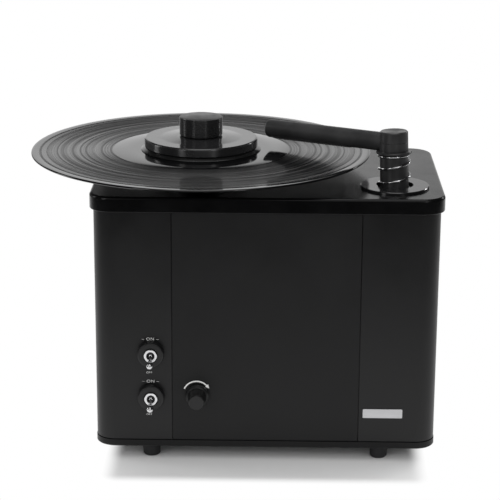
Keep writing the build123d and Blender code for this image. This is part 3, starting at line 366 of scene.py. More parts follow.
def settle(name, mesh, body, slot, *stands_for):
    """Puts a finished piece in the scene, on its body; its slot is not used."""
    piece = put(name, mesh)
    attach(piece, body)
    if stands_for:
        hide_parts(*stands_for)
    return piece


def points(places):
    """A mesh of loose points, one for each place."""
    mesh = bpy.data.meshes.new("places")
    mesh.from_pydata(places, [], [])
    return mesh


screw_plan, step, size = plan("cross_head_screws", Head_Radius="Float", Head_Height="Float",
                              Facing="Vector", Seed="Int")


def raised(geometry, height):
    """A shape moved up by a height, inside the shaping plan being made."""
    return step("GeometryNodeTransform", Geometry=geometry,
                Translation=step("ShaderNodeCombineXYZ", Z=height).outputs[0]).outputs[0]


# The cross slot's sizes and the crown's are shares of the head's own radius and height.
head_facets, crown_width, crown_height = 28, 0.72, 0.5
slot_length, slot_width, slot_depth, slot_level = 1.15, 0.26, 1.6, 1.1
most_spin = 1.57
half_height = sum_of("MULTIPLY", size["Head Height"], crown_height)
drum = step("GeometryNodeMeshCylinder", {"fill_type": "NGON"}, Vertices=head_facets,
            Radius=size["Head Radius"], Depth=size["Head Height"])
crown = step("GeometryNodeMeshCone", Vertices=head_facets, Radius_Bottom=size["Head Radius"],
             Radius_Top=sum_of("MULTIPLY", size["Head Radius"], crown_width), Depth=half_height)
whole_head = step("GeometryNodeMeshBoolean", {"operation": "UNION"})
for shape in (drum.outputs["Mesh"], raised(crown.outputs["Mesh"], half_height)):
    screw_plan.links.new(shape, whole_head.inputs["Mesh 2"])
long_side = sum_of("MULTIPLY", size["Head Radius"], slot_length)
short_side = sum_of("MULTIPLY", size["Head Radius"], slot_width)
deep_side = sum_of("MULTIPLY", size["Head Height"], slot_depth)
slot_middle = sum_of("MULTIPLY", size["Head Height"], slot_level)
cut = step("GeometryNodeMeshBoolean", {"operation": "DIFFERENCE"},
           Mesh_1=whole_head.outputs["Mesh"])
for across, along in ((long_side, short_side), (short_side, long_side)):
    bar_size = step("ShaderNodeCombineXYZ", X=across, Y=along, Z=deep_side).outputs[0]
    bar = step("GeometryNodeMeshCube", Size=bar_size).outputs["Mesh"]
    screw_plan.links.new(raised(bar, slot_middle), cut.inputs["Mesh 2"])
placed = step("GeometryNodeInstanceOnPoints", Points=size["Geometry"],
              Instance=cut.outputs["Mesh"], Rotation=size["Facing"]).outputs[0]
spin = step("FunctionNodeRandomValue", {"data_type": "FLOAT"}, i2=0.0, i3=most_spin,
            Seed=size["Seed"]).outputs[1]
spun = step("GeometryNodeRotateInstances", Instances=placed,
            Rotation=step("ShaderNodeCombineXYZ", Z=spin).outputs[0])
screw_steel = finish("screw_steel", (0.10, 0.10, 0.105), roughness=0.34, metal=1.0)
grain(screw_steel, size=0.0004, depth=0.00002)
close(spun.outputs[0], screw_steel)


def screws(name, places, radius, height, facing, seed):
    """A set of cross-head screws at those places, with their heads turned to face one way."""
    mesh = made_by(screw_plan, name, points(places), screw_steel, Head_Radius=radius,
                   Head_Height=height, Facing=facing, Seed=seed)
    settle(name, mesh, "machine", "steel")


def corners(low, high, inset, level):
    """Four places set in from the corners of a piece's box, at one height."""
    middle_x, middle_y = (low.x + high.x) / 2, (low.y + high.y) / 2
    half_x, half_y = (high.x - low.x) / 2 - inset, (high.y - low.y) / 2 - inset
    return [(middle_x + i * half_x, middle_y + j * half_y, level)
            for i in (-1, 1) for j in (-1, 1)]


facing_down = (math.pi, 0, 0)
port_inset, foot_inset, foot_recess = 0.0094, 0.008, 0.0045
base_low, base_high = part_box("base_plate")
screws("base_screws", corners(base_low, base_high, port_inset, base_low.z),
       radius=0.0034, height=0.0011, facing=facing_down, seed=3)
screws("foot_screws", corners(*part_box("feet"), foot_inset, foot_recess),
       radius=0.0027, height=0.0014, facing=facing_down, seed=5)

# ---- Side extrusions -------------------------------------------------------------
# Two aluminium extrusions that make the rounded case sides, bead blasted and finished in
# satin black. They close over the base plate and hold the panels by lips along their edges.
shell_paint = finish("shell_satin", (0.005, 0.005, 0.0053), roughness=0.38, gloss=0.34)
grain(shell_paint, size=0.00035, depth=0.000012)
grain(shell_paint, size=0.0012, depth=0.00001, stretch=(1, 1, 0.12))
wear(shell_paint, size=0.05, colour=0.25, roughness=0.14)

# ---- Front and rear panels -------------------------------------------------------
# Folded steel sheets set a hair's breadth behind the extrusions and powder coated in fine
# texture. The rear one has the exhaust slots, the mains inlet and the drain hole.
panel_coat = finish("panel_powder", (0.0055, 0.0055, 0.0058), roughness=0.5, gloss=0.3)
grain(panel_coat, size=0.00055, depth=0.00007, detail=3.0)
grain(panel_coat, size=0.0018, depth=0.00003)
wear(panel_coat, size=0.04, colour=0.22, roughness=0.1)

facing_back = (-math.pi / 2, 0, 0)
side_inset, end_inset, ear_inset = 0.005, 0.012, 0.005
inlet_low, inlet_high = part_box("power_inlet")
screws("inlet_screws", [(x, inlet_high.y, (inlet_low.z + inlet_high.z) / 2)
                        for x in (inlet_low.x + ear_inset, inlet_high.x - ear_inset)],
       radius=0.0024, height=0.0009, facing=facing_back, seed=9)
rear_low, rear_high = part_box("rear_panel")
rear_levels = (rear_low.z + end_inset, (rear_low.z + rear_high.z) / 2, rear_high.z - end_inset)
screws("rear_screws", [(x, rear_high.y, z)
                       for x in (rear_low.x + side_inset, rear_high.x - side_inset)
                       for z in rear_levels],
       radius=0.0026, height=0.0011, facing=facing_back, seed=7)

# ---- Top plate -------------------------------------------------------------------
# A thick rounded slab that caps the case, black lacquer polished to a soft gloss, with a
# faint orange peel and the fine wiping marks that such a top collects.
lacquer = finish("plate_gloss", (0.003, 0.003, 0.0032), roughness=0.20, gloss=0.22)
grain(lacquer, size=0.0035, depth=0.00002, detail=1.0)
grain(lacquer, size=0.0004, depth=0.000004)
wear(lacquer, size=0.03, colour=0.3, roughness=0.25)

# ---- Bearing, spindle and drive --------------------------------------------------
# Turned steel spindle in a cast housing under the top plate, driven through a clamping
# coupling by a gear motor on a bracket with four standoffs.
bright_steel = finish("steel", (0.46, 0.46, 0.47), roughness=0.26, metal=1.0)
grain(bright_steel, size=0.00025, depth=0.000006, stretch=(1, 1, 8))
wear(bright_steel, size=0.008, colour=0.12, roughness=0.25)
cast_grey = finish("motor_grey", (0.16, 0.165, 0.17), roughness=0.45, metal=0.7)
grain(cast_grey, size=0.0007, depth=0.00004)
wear(cast_grey, size=0.014, colour=0.25, roughness=0.2)
brass = finish("brass", (0.60, 0.42, 0.16), roughness=0.28, metal=1.0)
grain(brass, size=0.0003, depth=0.000008, stretch=(1, 1, 6))
wear(brass, size=0.006, colour=0.15, roughness=0.2)

# ---- Platter and mat -------------------------------------------------------------
# A thin turned platter on a flanged hub, anodised black, and a rubber mat with fine
# concentric ribs that grips the record.
disc_low, disc_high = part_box("record")
spindle_axis = ((disc_low.x + disc_high.x) / 2, 0.0, 0.0)


def from_spindle(look):
    """Distance from the spindle's axis, in metres."""
    away = add(look, "VectorMath", {"operation": "LENGTH"})
    join(look, on_piece(look, (1, 1, 0), spindle_axis), away.inputs[0])
    return away.outputs["Value"]


def turning_marks(look, pitch, depth):
    """Concentric marks of a lathe tool, uneven as cut, round the spindle's axis."""
    lines = add(look, "TexNoise", {"noise_dimensions": "1D"}, Scale=1 / pitch, Detail=2.0,
                Roughness=0.6)
    join(look, from_spindle(look), lines.inputs["W"])
    press(look, lines.outputs["Fac"], depth)


def ribs(look, pitch, depth):
    """Even concentric ribs of that pitch round the spindle's axis."""
    wave = add(look, "Math", {"operation": "SINE"})
    phase = add(look, "Math", {"operation": "MULTIPLY"})
    phase.inputs[1].default_value = 2 * math.pi / pitch
    join(look, from_spindle(look), phase.inputs[0])
    join(look, phase.outputs[0], wave.inputs[0])
    press(look, wave.outputs[0], depth)


platter_skin = finish("platter_black", (0.012, 0.012, 0.013), roughness=0.32, metal=0.3)
turning_marks(platter_skin, pitch=0.0006, depth=0.00002)
wear(platter_skin, size=0.03, colour=0.2, roughness=0.2)
mat_skin = finish("mat_rubber", (0.010, 0.010, 0.010), roughness=0.75, gloss=0.3)
ribs(mat_skin, pitch=0.003, depth=0.0003)
grain(mat_skin, size=0.0005, depth=0.00004)

# ---- Record ----------------------------------------------------------------------
# A pressed black vinyl disc: smooth raised rim, one broad grooved band and the polished
# middle. The grooves spread light across their run, more where they are cut loud.


sharp_edge = math.radians(40)


def lathe(name, outline, middle, facets, *looks):
    """A closed mesh turned from (radius, height) points; a third number picks another look."""
    shell = bmesh.new()
    rings = []
    for radius, height, *_ in outline:
        turns = [2 * math.pi * i / facets for i in range(facets if radius else 1)]
        rings.append([shell.verts.new((middle[0] + radius * math.cos(turn),
                                       middle[1] + radius * math.sin(turn), height))
                      for turn in turns])
    for k, here in enumerate(rings):
        there = rings[(k + 1) % len(rings)]
        for i in range(facets if len(here) + len(there) > 2 else 0):
            j = (i + 1) % facets
            face = shell.faces.new(dict.fromkeys((here[i % len(here)], here[j % len(here)],
                                                  there[j % len(there)], there[i % len(there)])))
            face.material_index = outline[k][2] if len(outline[k]) > 2 else 0
            face.smooth = True
    bmesh.ops.recalc_face_normals(shell, faces=shell.faces)
    mesh = as_mesh(name, shell, *looks)
    mesh.set_sharp_from_angle(angle=sharp_edge)
    return mesh


def spread_light(look, amount, axis=spindle_axis):
    """Lines round an upright axis: the gloss spreads across them, not along."""
    skin = look.node_tree.nodes["skin"]
    skin.inputs["Anisotropic"].default_value = amount
    along = add(look, "VectorMath", {"operation": "CROSS_PRODUCT"})
    along.inputs[0].default_value = (0, 0, 1)
    join(look, on_piece(look, centre=axis), along.inputs[1])
    turned = add(look, "VectorTransform", {"vector_type": "VECTOR", "convert_from": "OBJECT",
                                           "convert_to": "WORLD"})
    join(look, along.outputs[0], turned.inputs[0])
    across = add(look, "VectorMath", {"operation": "CROSS_PRODUCT"})
    join(look, turned.outputs[0], across.inputs[0])
    join(look, add(look, "NewGeometry").outputs["Normal"], across.inputs[1])
    join(look, across.outputs[0], skin.inputs["Tangent"])


vinyl = finish("vinyl", (0.003, 0.003, 0.0033), roughness=0.09, IOR=1.6)
wear(vinyl, size=0.02, colour=0.0, roughness=0.35)
turning_marks(vinyl, pitch=0.004, depth=0.00001)
grooved_vinyl = finish("vinyl_grooved", (0.002, 0.002, 0.0022), roughness=0.30, gloss=0.38,
                       IOR=1.5, Coat_Weight=0.09, Coat_Roughness=0.06)
spread_light(grooved_vinyl, 1.0)
passages_per_metre, quiet_spread, loud_spread = 240.0, 0.24, 0.52
loudness = add(grooved_vinyl, "TexNoise", {"noise_dimensions": "1D"}, Scale=passages_per_metre,
               Detail=4.0, Roughness=0.75)
join(grooved_vinyl, from_spindle(grooved_vinyl), loudness.inputs["W"])
scatter = spread(grooved_vinyl, loudness.outputs["Fac"], quiet_spread, loud_spread,
                 start=0.42, stop=0.60)
join(grooved_vinyl, scatter, grooved_vinyl.node_tree.nodes["skin"].inputs["Roughness"])
turning_marks(grooved_vinyl, pitch=0.0009, depth=0.00002)

disc_bottom, disc_top = disc_low.z, disc_high.z
rim_air, rim_width, groove_depth = 0.00004, 0.0062, 0.00015
disc_radius, disc_facets = (disc_high.x - disc_low.x) / 2 - rim_air, 240
middle_radius, label_radius, hole_radius, eased = 0.078, 0.06, 0.0037, 0.0006
band_outer, groove_floor = disc_radius - rim_width, disc_top - groove_depth
grooved = 1
# The rim's bead, as distances in from the edge and heights over the underside or under the top.
bead_rising = ((0.0, eased), (0.0, 0.0010), (0.0002, 0.00135))
bead_falling = ((eased, 0.0), (0.0022, 0.00002), (rim_width, 0.00004))
disc_outline = [(disc_radius - inward, disc_bottom + rise) for inward, rise in bead_rising]
disc_outline += [(disc_radius - inward, disc_top - fall) for inward, fall in bead_falling]
disc_outline += [(band_outer - eased, groove_floor, grooved),
                 (middle_radius + eased, groove_floor), (middle_radius, disc_top),
                 (label_radius, disc_top), (hole_radius, disc_top), (hole_radius, disc_bottom),
                 (middle_radius, disc_bottom, grooved), (band_outer, disc_bottom),
                 (disc_radius - eased, disc_bottom)]
disc_mesh = lathe("record_disc", disc_outline, spindle_axis, disc_facets, vinyl, grooved_vinyl)
settle("record_disc", disc_mesh, "platter", "vinyl", "record")

# ---- Clamp -----------------------------------------------------------------------
# A turned aluminium disc, anodised black and polished, on a soft rubber seal ring that
# keeps water off the label. The ringed grip, with a lightly domed top, screws down the pin.
seal_skin = finish("seal_rubber", (0.008, 0.008, 0.008), roughness=0.16)
grain(seal_skin, size=0.001, depth=0.000008)
wear(seal_skin, size=0.01, colour=0.2, roughness=0.3)
clamp_skin = finish("clamp_black", (0.010, 0.010, 0.0105), roughness=0.14, IOR=1.7)
turning_marks(clamp_skin, pitch=0.0005, depth=0.000004)
wear(clamp_skin, size=0.02, colour=0.2, roughness=0.25)
rim_skin = finish("clamp_rim", (0.014, 0.014, 0.0145), roughness=0.26, IOR=1.7)
spread_light(rim_skin, 0.9)
turning_marks(rim_skin, pitch=0.0005, depth=0.000004)
wear(rim_skin, size=0.02, colour=0.2, roughness=0.2)
grip_skin = finish("knob_black", (0.016, 0.016, 0.0165), roughness=0.30, gloss=0.55)
spread_light(grip_skin, 1.0)
turning_marks(grip_skin, pitch=0.0005, depth=0.00001)
grain(grip_skin, size=0.0005, depth=0.000012, stretch=(0.2, 0.2, 6))
wear(grip_skin, size=0.012, colour=0.2, roughness=0.2)
grip_top_skin = finish("knob_top", (0.012, 0.012, 0.0125), roughness=0.34, gloss=0.4)
turning_marks(grip_top_skin, pitch=0.0005, depth=0.000004)
wear(grip_top_skin, size=0.012, colour=0.2, roughness=0.2)

clamp_low, clamp_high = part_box("clamp_disc")
plate_radius, hub_rise, neck_gap = (clamp_high.x - clamp_low.x) / 2, 0.0014, 0.00805
plate_under, hub_top = clamp_low.z, clamp_high.z
plate_top = hub_top - hub_rise
recess_depth, recess_inner, recess_outer, foot_bevel = 0.003, 0.044, 0.046, 0.0012
edge_round, edge_steps, edge_land, plate_facets = 0.0018, 6, 0.0004, 180
rim = 1
plate_outline = [(neck_gap, plate_under + recess_depth),
                 (recess_inner, plate_under + recess_depth), (recess_outer, plate_under),
                 (plate_radius - foot_bevel, plate_under),
                 (plate_radius, plate_under + foot_bevel, rim)]
for i in range(edge_steps + 1):
    turn = math.radians(90 / edge_steps * i)
    plate_outline.append((plate_radius - edge_round * (1 - math.cos(turn)),
                          plate_top - edge_round * (1 - math.sin(turn)),
                          rim if i < edge_steps / 2 else 0))
plate_outline.append((plate_radius - edge_round - edge_land, plate_top))
# The low flare up to the hub starts with a short hollow curve and ends in a rounded crest.
flare_outer, hollow_width, hollow_rise, hollow_steps = 0.038, 0.004, 0.0002, 5
flare_inner, crest_width, crest_fall = 0.0225, 0.001, 0.0001
for i in range(hollow_steps + 1):
    share = i / hollow_steps
    plate_outline.append((flare_outer - hollow_width * share,
                          plate_top + hollow_rise * share ** 2))
plate_outline += [(flare_inner + crest_width, hub_top - crest_fall), (flare_inner, hub_top),
                  (neck_gap, hub_top)]
plate_mesh = lathe("clamp_plate", plate_outline, spindle_axis, plate_facets, clamp_skin,
                   rim_skin)
settle("clamp_plate", plate_mesh, "clamp", "clamp_black", "clamp_disc")

grip_low, grip_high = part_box("clamp_knob")
foot_gap, foot_ease, grip_facets = 0.0007, 0.0006, 144
grip_radius, grip_foot, grip_crown = (grip_high.x - grip_low.x) / 2, hub_top + foot_gap, grip_high.z
neck_foot, neck_radius, bush_radius, pocket_depth = grip_low.z, 0.008, 0.0055, 0.0116
# Each ring has a face up to one share of its pitch and a groove that is deepest at another.
ring_count, first_ring, plain_height = 9, 0.0008, 0.003
ring_pitch = (grip_crown - grip_foot - plain_height) / ring_count
ring_face, ring_floor, ring_depth = 0.62, 0.8, 0.00035
lip_low, lip_high, crown_ease, crown_fall = 0.0019, 0.0007, 0.0003, 0.0002
dome, dome_steps, faced = 0.0009, 8, 1
grip_outline = [(bush_radius, neck_foot), (neck_radius, neck_foot), (neck_radius, grip_foot),
                (grip_radius - foot_ease, grip_foot)]
for i in range(ring_count):
    ring_low = grip_foot + first_ring + i * ring_pitch
    grip_outline += [(grip_radius, ring_low), (grip_radius, ring_low + ring_face * ring_pitch),
                     (grip_radius - ring_depth, ring_low + ring_floor * ring_pitch)]
grip_outline += [(grip_radius, grip_crown - lip_low),
                 (grip_radius, grip_crown - dome - lip_high),
                 (grip_radius - crown_ease, grip_crown - dome - crown_fall, faced)]
for i in range(1, dome_steps + 1):
    outward = 1 - i / dome_steps
    grip_outline.append(((grip_radius - crown_ease) * outward,
                         grip_crown - dome * outward ** 2, faced))
grip_outline += [(0, neck_foot + pocket_depth), (bush_radius, neck_foot + pocket_depth)]
grip_mesh = lathe("grip_turned", grip_outline, spindle_axis, grip_facets, grip_skin,
                  grip_top_skin)
settle("grip_turned", grip_mesh, "clamp_grip", "knob_black", "clamp_knob")

# ---- Suction arm -----------------------------------------------------------------
# An aluminium tube with a milled slot underneath, in satin black, plugged at its free end
# and let into a turned head that sits on the air-carrying riser, which leans a little.
tube_skin = finish("arm_satin", (0.024, 0.024, 0.0245), roughness=0.45)
grain(tube_skin, size=0.0005, depth=0.00001)
wear(tube_skin, size=0.02, colour=0.25, roughness=0.15)
head_skin = finish("head_black", (0.020, 0.020, 0.0205), roughness=0.38, gloss=0.58)
grain(head_skin, size=0.0006, depth=0.00001)
wear(head_skin, size=0.012, colour=0.25, roughness=0.2)
socket_low, socket_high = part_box("arm_socket")
pivot_below_plate, arm_bearing, arm_lean = 0.0115, math.radians(143.4961), math.radians(2.4)
post = Vector(((socket_low.x + socket_high.x) / 2, (socket_low.y + socket_high.y) / 2,
               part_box("top_plate")[1].z - pivot_below_plate))
on_arm = (Matrix.Translation(post) @ Matrix.Rotation(arm_bearing, 4, "Z")
          @ Matrix.Rotation(arm_lean, 4, "Y"))
record_level = disc_top - post.z
spread_light(head_skin, 0.6, (post.x, post.y, 0.0))

# ---- Velvet strips ---------------------------------------------------------------
# Two strips of short dense pile, glued along both sides of the suction slot. They stand just
# clear of the record, meet it when the arm is pressed down, and keep the tube from scratching.
velvet = finish("velvet", (0.010, 0.010, 0.011), roughness=0.9, gloss=0.1, Sheen_Weight=0.35,
                Sheen_Roughness=0.4)
grain(velvet, size=0.0004, depth=0.0001)
wear(velvet, size=0.004, colour=0.35, roughness=0.0)

# The strips are laid out along the tube: x runs along it from the riser, z up from the pivot.
tube_over_record, tube_radius = 0.0204, 0.0081
tube_level = record_level + tube_over_record
strip_start, strip_stop, slot_half, strip_width = 0.0435, 0.1273, 0.0012, 0.005
strip_thick, edge_thick, backing, glue = 0.0004, 0.35, 0.0001, 0.00003
long_steps, cross_steps = 60, 12
strips = bmesh.new()
for side in (-1, 1):
    near = math.asin(slot_half / (tube_radius + strip_thick))
    far = math.asin((slot_half + strip_width) / (tube_radius + strip_thick))
    rows = []
    for i in range(long_steps + 1):
        along = strip_start + (strip_stop - strip_start) * i / long_steps
        end_fall = min(1.0, min(i, long_steps - i) / 2)
        row = []
        for j in range(cross_steps + 1):
            turn = near + (far - near) * j / cross_steps
            edge_fall = 1 - abs(2 * j / cross_steps - 1) ** 6
            fullness = edge_thick + (1 - edge_thick) * edge_fall * end_fall
            radius = tube_radius + backing + strip_thick * fullness
            row.append((along, side * radius * math.sin(turn),
                        tube_level - radius * math.cos(turn)))
        rows.append(row)
    pile = [[strips.verts.new(place) for place in row] for row in rows]
    glued = []
    for row in rows:
        foot_row = []
        for along, y, z in row:
            out = Vector((y, z - tube_level)).normalized() * (tube_radius + glue)
            foot_row.append(strips.verts.new((along, out.x, tube_level + out.y)))
        glued.append(foot_row)
    for i in range(long_steps):
        for j in range(cross_steps):
            strips.faces.new((pile[i][j], pile[i + 1][j], pile[i + 1][j + 1], pile[i][j + 1]))
            strips.faces.new((glued[i][j], glued[i][j + 1], glued[i + 1][j + 1], glued[i + 1][j]))
    for i in range(long_steps):
        for j in (0, cross_steps):
            strips.faces.new((pile[i][j], glued[i][j], glued[i + 1][j], pile[i + 1][j]))
    for j in range(cross_steps):
        for i in (0, long_steps):
            strips.faces.new((pile[i][j], pile[i][j + 1], glued[i][j + 1], glued[i][j]))
bmesh.ops.recalc_face_normals(strips, faces=strips.faces)
for face in strips.faces:
    face.smooth = True
strip_mesh = as_mesh("velvet_backing", strips)

pile_plan, step, size = plan("velvet_pile", Fibres_per_Square_Metre="Float",
                             Fibre_Length="Float", Fibre_Radius="Float", Seed="Int")
most_lean, any_turn = 0.35, 3.14
spots = step("GeometryNodeDistributePointsOnFaces", Mesh=size["Geometry"],
             Density=size["Fibres per Square Metre"], Seed=size["Seed"])
fibre = step("GeometryNodeMeshCone", {"fill_type": "NONE"}, Vertices=3, Side_Segments=1,
             Radius_Bottom=size["Fibre Radius"], Radius_Top=0.0, Depth=size["Fibre Length"])
lean = step("FunctionNodeRandomValue", {"data_type": "FLOAT_VECTOR"}, Seed=size["Seed"],
            i0=(-most_lean, -most_lean, 0.0), i1=(most_lean, most_lean, any_turn))
planted = step("GeometryNodeInstanceOnPoints", Points=spots.outputs["Points"],
               Instance=fibre.outputs["Mesh"], Rotation=spots.outputs["Rotation"])
tousled = step("GeometryNodeRotateInstances", Instances=planted.outputs[0],
               Rotation=lean.outputs[0])
both = step("GeometryNodeJoinGeometry")
for layer in (size["Geometry"], tousled.outputs[0]):
    pile_plan.links.new(layer, both.inputs[0])
close(both.outputs[0], velvet)
pile_mesh = made_by(pile_plan, "velvet_strips", strip_mesh, velvet, Seed=11,
                    Fibres_per_Square_Metre=9.0e6, Fibre_Length=0.0003, Fibre_Radius=0.00006)
pile_mesh.transform(on_arm)
settle("velvet_strips", pile_mesh, "arm", "velvet", "arm_pads")

# ---- Arm spring ------------------------------------------------------------------
# An open coil of bright chromed wire round the riser, closed at both ends. It holds the arm
# up off the record until the hand or the suction pulls it down.
chrome = finish("bright_chrome", (0.72, 0.72, 0.73), roughness=0.18, metal=1.0)
wear(chrome, size=0.006, colour=0.06, roughness=0.4)
grain(chrome, size=0.0006, depth=0.000003)

coil_plan, step, size = plan("wire_coil", Coil_Radius="Float", Turns="Float", Phase="Float",
                             Low="Float", High="Float", End_Lift="Float", Wire_Radius="Float")


def part_way(value, start, stop, low, high):
    """Runs a value from low to high while another goes from start to stop."""
    return step("ShaderNodeMapRange", {"clamp": True}, Value=value, From_Min=start,
                From_Max=stop, To_Min=low, To_Max=high).outputs["Result"]


# The wire climbs by one lift over the first half turn and the last, and evenly between them.
wire_steps, wire_facets, flat_turn = 284, 12, 0.5
line = step("GeometryNodeMeshLine", Count=wire_steps)
wound = sum_of("DIVIDE", step("GeometryNodeInputIndex").outputs[0], float(wire_steps - 1))
turns_done = sum_of("MULTIPLY", wound, size["Turns"])
bearing = sum_of("ADD", sum_of("MULTIPLY", turns_done, 2 * math.pi), size["Phase"])
last_start = sum_of("SUBTRACT", size["Turns"], flat_turn)
open_rise = sum_of("SUBTRACT", sum_of("SUBTRACT", size["High"], size["Low"]),
                   sum_of("MULTIPLY", size["End Lift"], 2.0))
first_end = part_way(turns_done, 0.0, flat_turn, 0.0, size["End Lift"])
open_turns = part_way(turns_done, flat_turn, last_start, 0.0, open_rise)
last_end = part_way(turns_done, last_start, size["Turns"], 0.0, size["End Lift"])
wire_level = sum_of("ADD", sum_of("ADD", first_end, last_end),
                    sum_of("ADD", open_turns, size["Low"]))
wire_x, wire_y = (sum_of("MULTIPLY", sum_of(way, bearing, 0.0), size["Coil Radius"])
                  for way in ("COSINE", "SINE"))
wire_place = step("ShaderNodeCombineXYZ", X=wire_x, Y=wire_y, Z=wire_level).outputs[0]
wound_line = step("GeometryNodeSetPosition", Geometry=line.outputs[0], Position=wire_place)
wire = step("GeometryNodeMeshToCurve", Mesh=wound_line.outputs[0])
round_wire = step("GeometryNodeCurvePrimitiveCircle", Resolution=wire_facets,
                  Radius=size["Wire Radius"])
coiled = step("GeometryNodeCurveToMesh", Curve=wire.outputs[0],
              Profile_Curve=round_wire.outputs[0], Fill_Caps=True)
close(step("GeometryNodeSetShadeSmooth", Geometry=coiled.outputs[0]).outputs[0], chrome)

coil_radius, wire_radius, coil_turns, coil_start = 0.0134, 0.0009, 3.55, math.radians(-6.7)
seat_top, seat_air, band_air, press_travel = 0.0055, 0.0001, 0.00005, 0.0061
band_over_record = 0.0116
band_bottom = record_level + band_over_record
seat_level = seat_top + coil_radius * math.sin(arm_lean) + wire_radius + seat_air
coil_mesh = made_by(coil_plan, "arm_coil", points([(0, 0, 0)]), chrome, Turns=coil_turns,
                    Phase=coil_start, Coil_Radius=coil_radius, Wire_Radius=wire_radius,
                    Low=seat_level, High=band_bottom - wire_radius - band_air,
                    End_Lift=1.2 * wire_radius)
coil_mesh.transform(on_arm)
coil = settle("arm_coil", coil_mesh, "arm_turn", "bright_chrome", "arm_spring")
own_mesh(coil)

# ---- Hoses, tank and fan ---------------------------------------------------------
# Black rubber hoses, a milky moulded waste tank and the suction fan, all inside the case and
# held by their own pads and spigots.
hose_skin = finish("hose_black", (0.012, 0.012, 0.012), roughness=0.55, gloss=0.4)
grain(hose_skin, size=0.0012, depth=0.00012, stretch=(0.2, 0.2, 2.2), detail=1.0)
wear(hose_skin, size=0.02, colour=0.3, roughness=0.2)
milky = finish("tank_white", (0.72, 0.73, 0.70), roughness=0.42, gloss=0.45,
               Subsurface_Weight=0.25, Subsurface_Radius=(0.004, 0.004, 0.004))
grain(milky, size=0.004, depth=0.00006)
wear(milky, size=0.03, colour=0.06, roughness=0.2)
moulded = finish("plastic_black", (0.011, 0.011, 0.0115), roughness=0.4, gloss=0.45)
grain(moulded, size=0.0004, depth=0.00002)
wear(moulded, size=0.01, colour=0.25, roughness=0.15)

# ---- Transformer and control board -----------------------------------------------
# A ring-core transformer wound in varnished wire under clear tape, and a green glass-fibre
# board with its heat sink and capacitors on four pillars.
winding = finish("winding", (0.42, 0.20, 0.055), roughness=0.32)
grain(winding, size=0.0008, depth=0.0002, stretch=(1, 1, 0.1), detail=1.0)
wear(winding, size=0.006, colour=0.25, roughness=0.25)
board = finish("board_green", (0.018, 0.12, 0.045), roughness=0.35)
grain(board, size=0.0009, depth=0.00003)
wear(board, size=0.003, colour=0.35, roughness=0.2)

# ---- Toggle switches -------------------------------------------------------------
# Two chromed bat-handle toggles in thick round collars, turned in black plastic and eased at
# the rim, each held by a dress nut. A plated ferrule lines the mouth of each bush.
control_skin = finish("control_black", (0.007, 0.007, 0.0073), roughness=0.42, gloss=0.4)
grain(control_skin, size=0.0005, depth=0.000015)
wear(control_skin, size=0.008, colour=0.2, roughness=0.15)

front_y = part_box("left_side_shell")[0].y
nut_low, nut_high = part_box("switch_nuts")
toggle_x, nut_radius = (nut_low.x + nut_high.x) / 2, (nut_high.x - nut_low.x) / 2
bush_sink, plating, flange_sink, ferrule_facets = 0.0002, 0.00003, 0.00002, 48
bush_face = front_y - nut_low.y - bush_sink
flange_radius, mouth_outer, mouth_inner = 0.00358, 0.00303, 0.00299
throat_outer, throat_inner, throat_depth = 0.00244, 0.00241, 0.0015
ferrule_outline = [(flange_radius, bush_face - flange_sink),
                   (flange_radius, bush_face + plating),
                   (mouth_inner - plating, bush_face + plating),
                   (throat_inner - plating, bush_face - throat_depth),
                   (throat_outer, bush_face - throat_depth),
                   (mouth_outer, bush_face - flange_sink)]
upright = Matrix.Rotation(math.pi / 2, 4, "X")
for name, level_z in (("upper_ferrule", nut_high.z - nut_radius),
                      ("lower_ferrule", nut_low.z + nut_radius)):
    ferrule = lathe(name, ferrule_outline, (0, 0), ferrule_facets, bright_steel)
    ferrule.transform(Matrix.Translation((toggle_x, front_y, level_z)) @ upright)
    settle(name, ferrule, "machine", "steel")

# ---- Blank plate -----------------------------------------------------------------
# A small plate of brushed aluminium with rounded corners and eased edges, glued low on the
# right side of the front and left bare.
brushed = finish("brushed_plate", (0.55, 0.55, 0.56), roughness=0.36, metal=1.0)
grain(brushed, size=0.0004, depth=0.00001, stretch=(0.05, 1, 1), detail=3.0)
wear(brushed, size=0.01, colour=0.12, roughness=0.2, stretch=(0.3, 1, 2))

blank_x, blank_z, blank_wide, blank_high = 0.13165, 0.04485, 0.0345, 0.0083
blank_thick, corner_round, edge_ease = 0.0006, 0.0008, 0.00015
blank_plate = bmesh.new()
bmesh.ops.create_cube(blank_plate, size=1.0,
                      matrix=Matrix.Translation((blank_x, front_y - blank_thick / 2, blank_z))
                      @ Matrix.Diagonal((blank_wide, blank_thick, blank_high, 1)))
corner_edges = [side for side in blank_plate.edges
                if abs(side.verts[0].co.y - side.verts[1].co.y) > blank_thick / 2]
bmesh.ops.bevel(blank_plate, geom=corner_edges, offset=corner_round, segments=4,
                affect="EDGES", profile=0.5)
front_face = min(blank_plate.faces, key=lambda face: face.calc_center_median().y)
bmesh.ops.bevel(blank_plate, geom=list(front_face.edges), offset=edge_ease, segments=2,
                affect="EDGES", profile=0.5)
settle("blank_plate", as_mesh("blank_plate", blank_plate, brushed), "machine", "steel")

# ---- Printed marks ---------------------------------------------------------------
# White screen print on the satin case: the words ON and OFF at the switches, and a bent
# arrow over the speed knob.
ink = finish("white_ink", (0.78, 0.78, 0.77), roughness=0.5, gloss=0.3)
grain(ink, size=0.0003, depth=0.00002)
wear(ink, size=0.0012, colour=0.10, roughness=0.1)
# Capitals are this share of the letters' size; the strokes are thinned and the words widened.
ink_thick, capital_share, letter_gap, stroke_offset, widened = 0.00003, 0.7, 1.1, -0.00003, 1.15


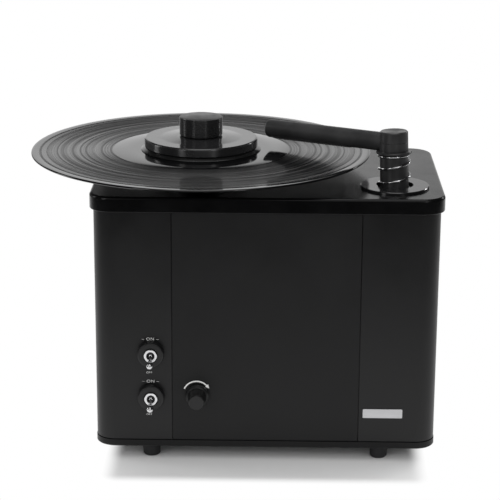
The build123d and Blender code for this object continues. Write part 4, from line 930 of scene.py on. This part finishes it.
def printed(name, text, height, x, z):
    """A printed word, centred at a place on the front face."""
    letters = bpy.data.curves.new(name, "FONT")
    letters.body = text
    letters.size = height / capital_share
    letters.align_x = letters.align_y = "CENTER"
    letters.space_character = letter_gap
    letters.offset = stroke_offset
    mesh = plain_mesh(put(name + "_word", letters), ink)
    mesh.transform(Matrix.Translation((x, front_y - ink_thick, z)) @ upright
                   @ Matrix.Diagonal((widened, 1, 1, 1)))
    settle(name, mesh, "machine", "shell_satin")


on_between_dashes = "\u2013 ON \u2013"
for name, word, high, aside, level_z in (("upper_on", on_between_dashes, 0.0026, 0.0006, 0.1112),
                                         ("upper_off", "OFF", 0.0017, 0.0017, 0.0806),
                                         ("lower_on", on_between_dashes, 0.0026, 0.0006, 0.0725),
                                         ("lower_off", "OFF", 0.0017, 0.0021, 0.0418)):
    printed(name, word, high, toggle_x - aside, level_z)

knob_low, knob_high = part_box("speed_knob")
arc_left, arc_up, arc_radius, arc_half, arc_steps = 0.0006, 0.0011, 0.0117, 0.0006, 32
arc_middle = Vector(((knob_low.x + knob_high.x) / 2 - arc_left,
                     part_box("front_panel")[0].y - ink_thick,
                     (knob_low.z + knob_high.z) / 2 + arc_up))
arc_start, arc_stop = math.radians(156), math.radians(42)
tip_half, tip_length = 0.0018, 0.0034
arrow = bmesh.new()
ladder = []
for i in range(arc_steps + 1):
    turn = arc_start + (arc_stop - arc_start) * i / arc_steps
    outward = Vector((math.cos(turn), 0, math.sin(turn)))
    ladder.append([arrow.verts.new(arc_middle + outward * radius)
                   for radius in (arc_radius - arc_half, arc_radius + arc_half)])
for here, there in zip(ladder, ladder[1:]):
    arrow.faces.new((here[0], there[0], there[1], here[1]))
onward = Vector((outward.z, 0, -outward.x))
tip_middle = arc_middle + outward * arc_radius
arrow.faces.new([arrow.verts.new(tip_middle + corner)
                 for corner in (-outward * tip_half, onward * tip_length, outward * tip_half)])
settle("speed_arrow", as_mesh("speed_arrow", arrow, ink), "machine", "panel_powder")
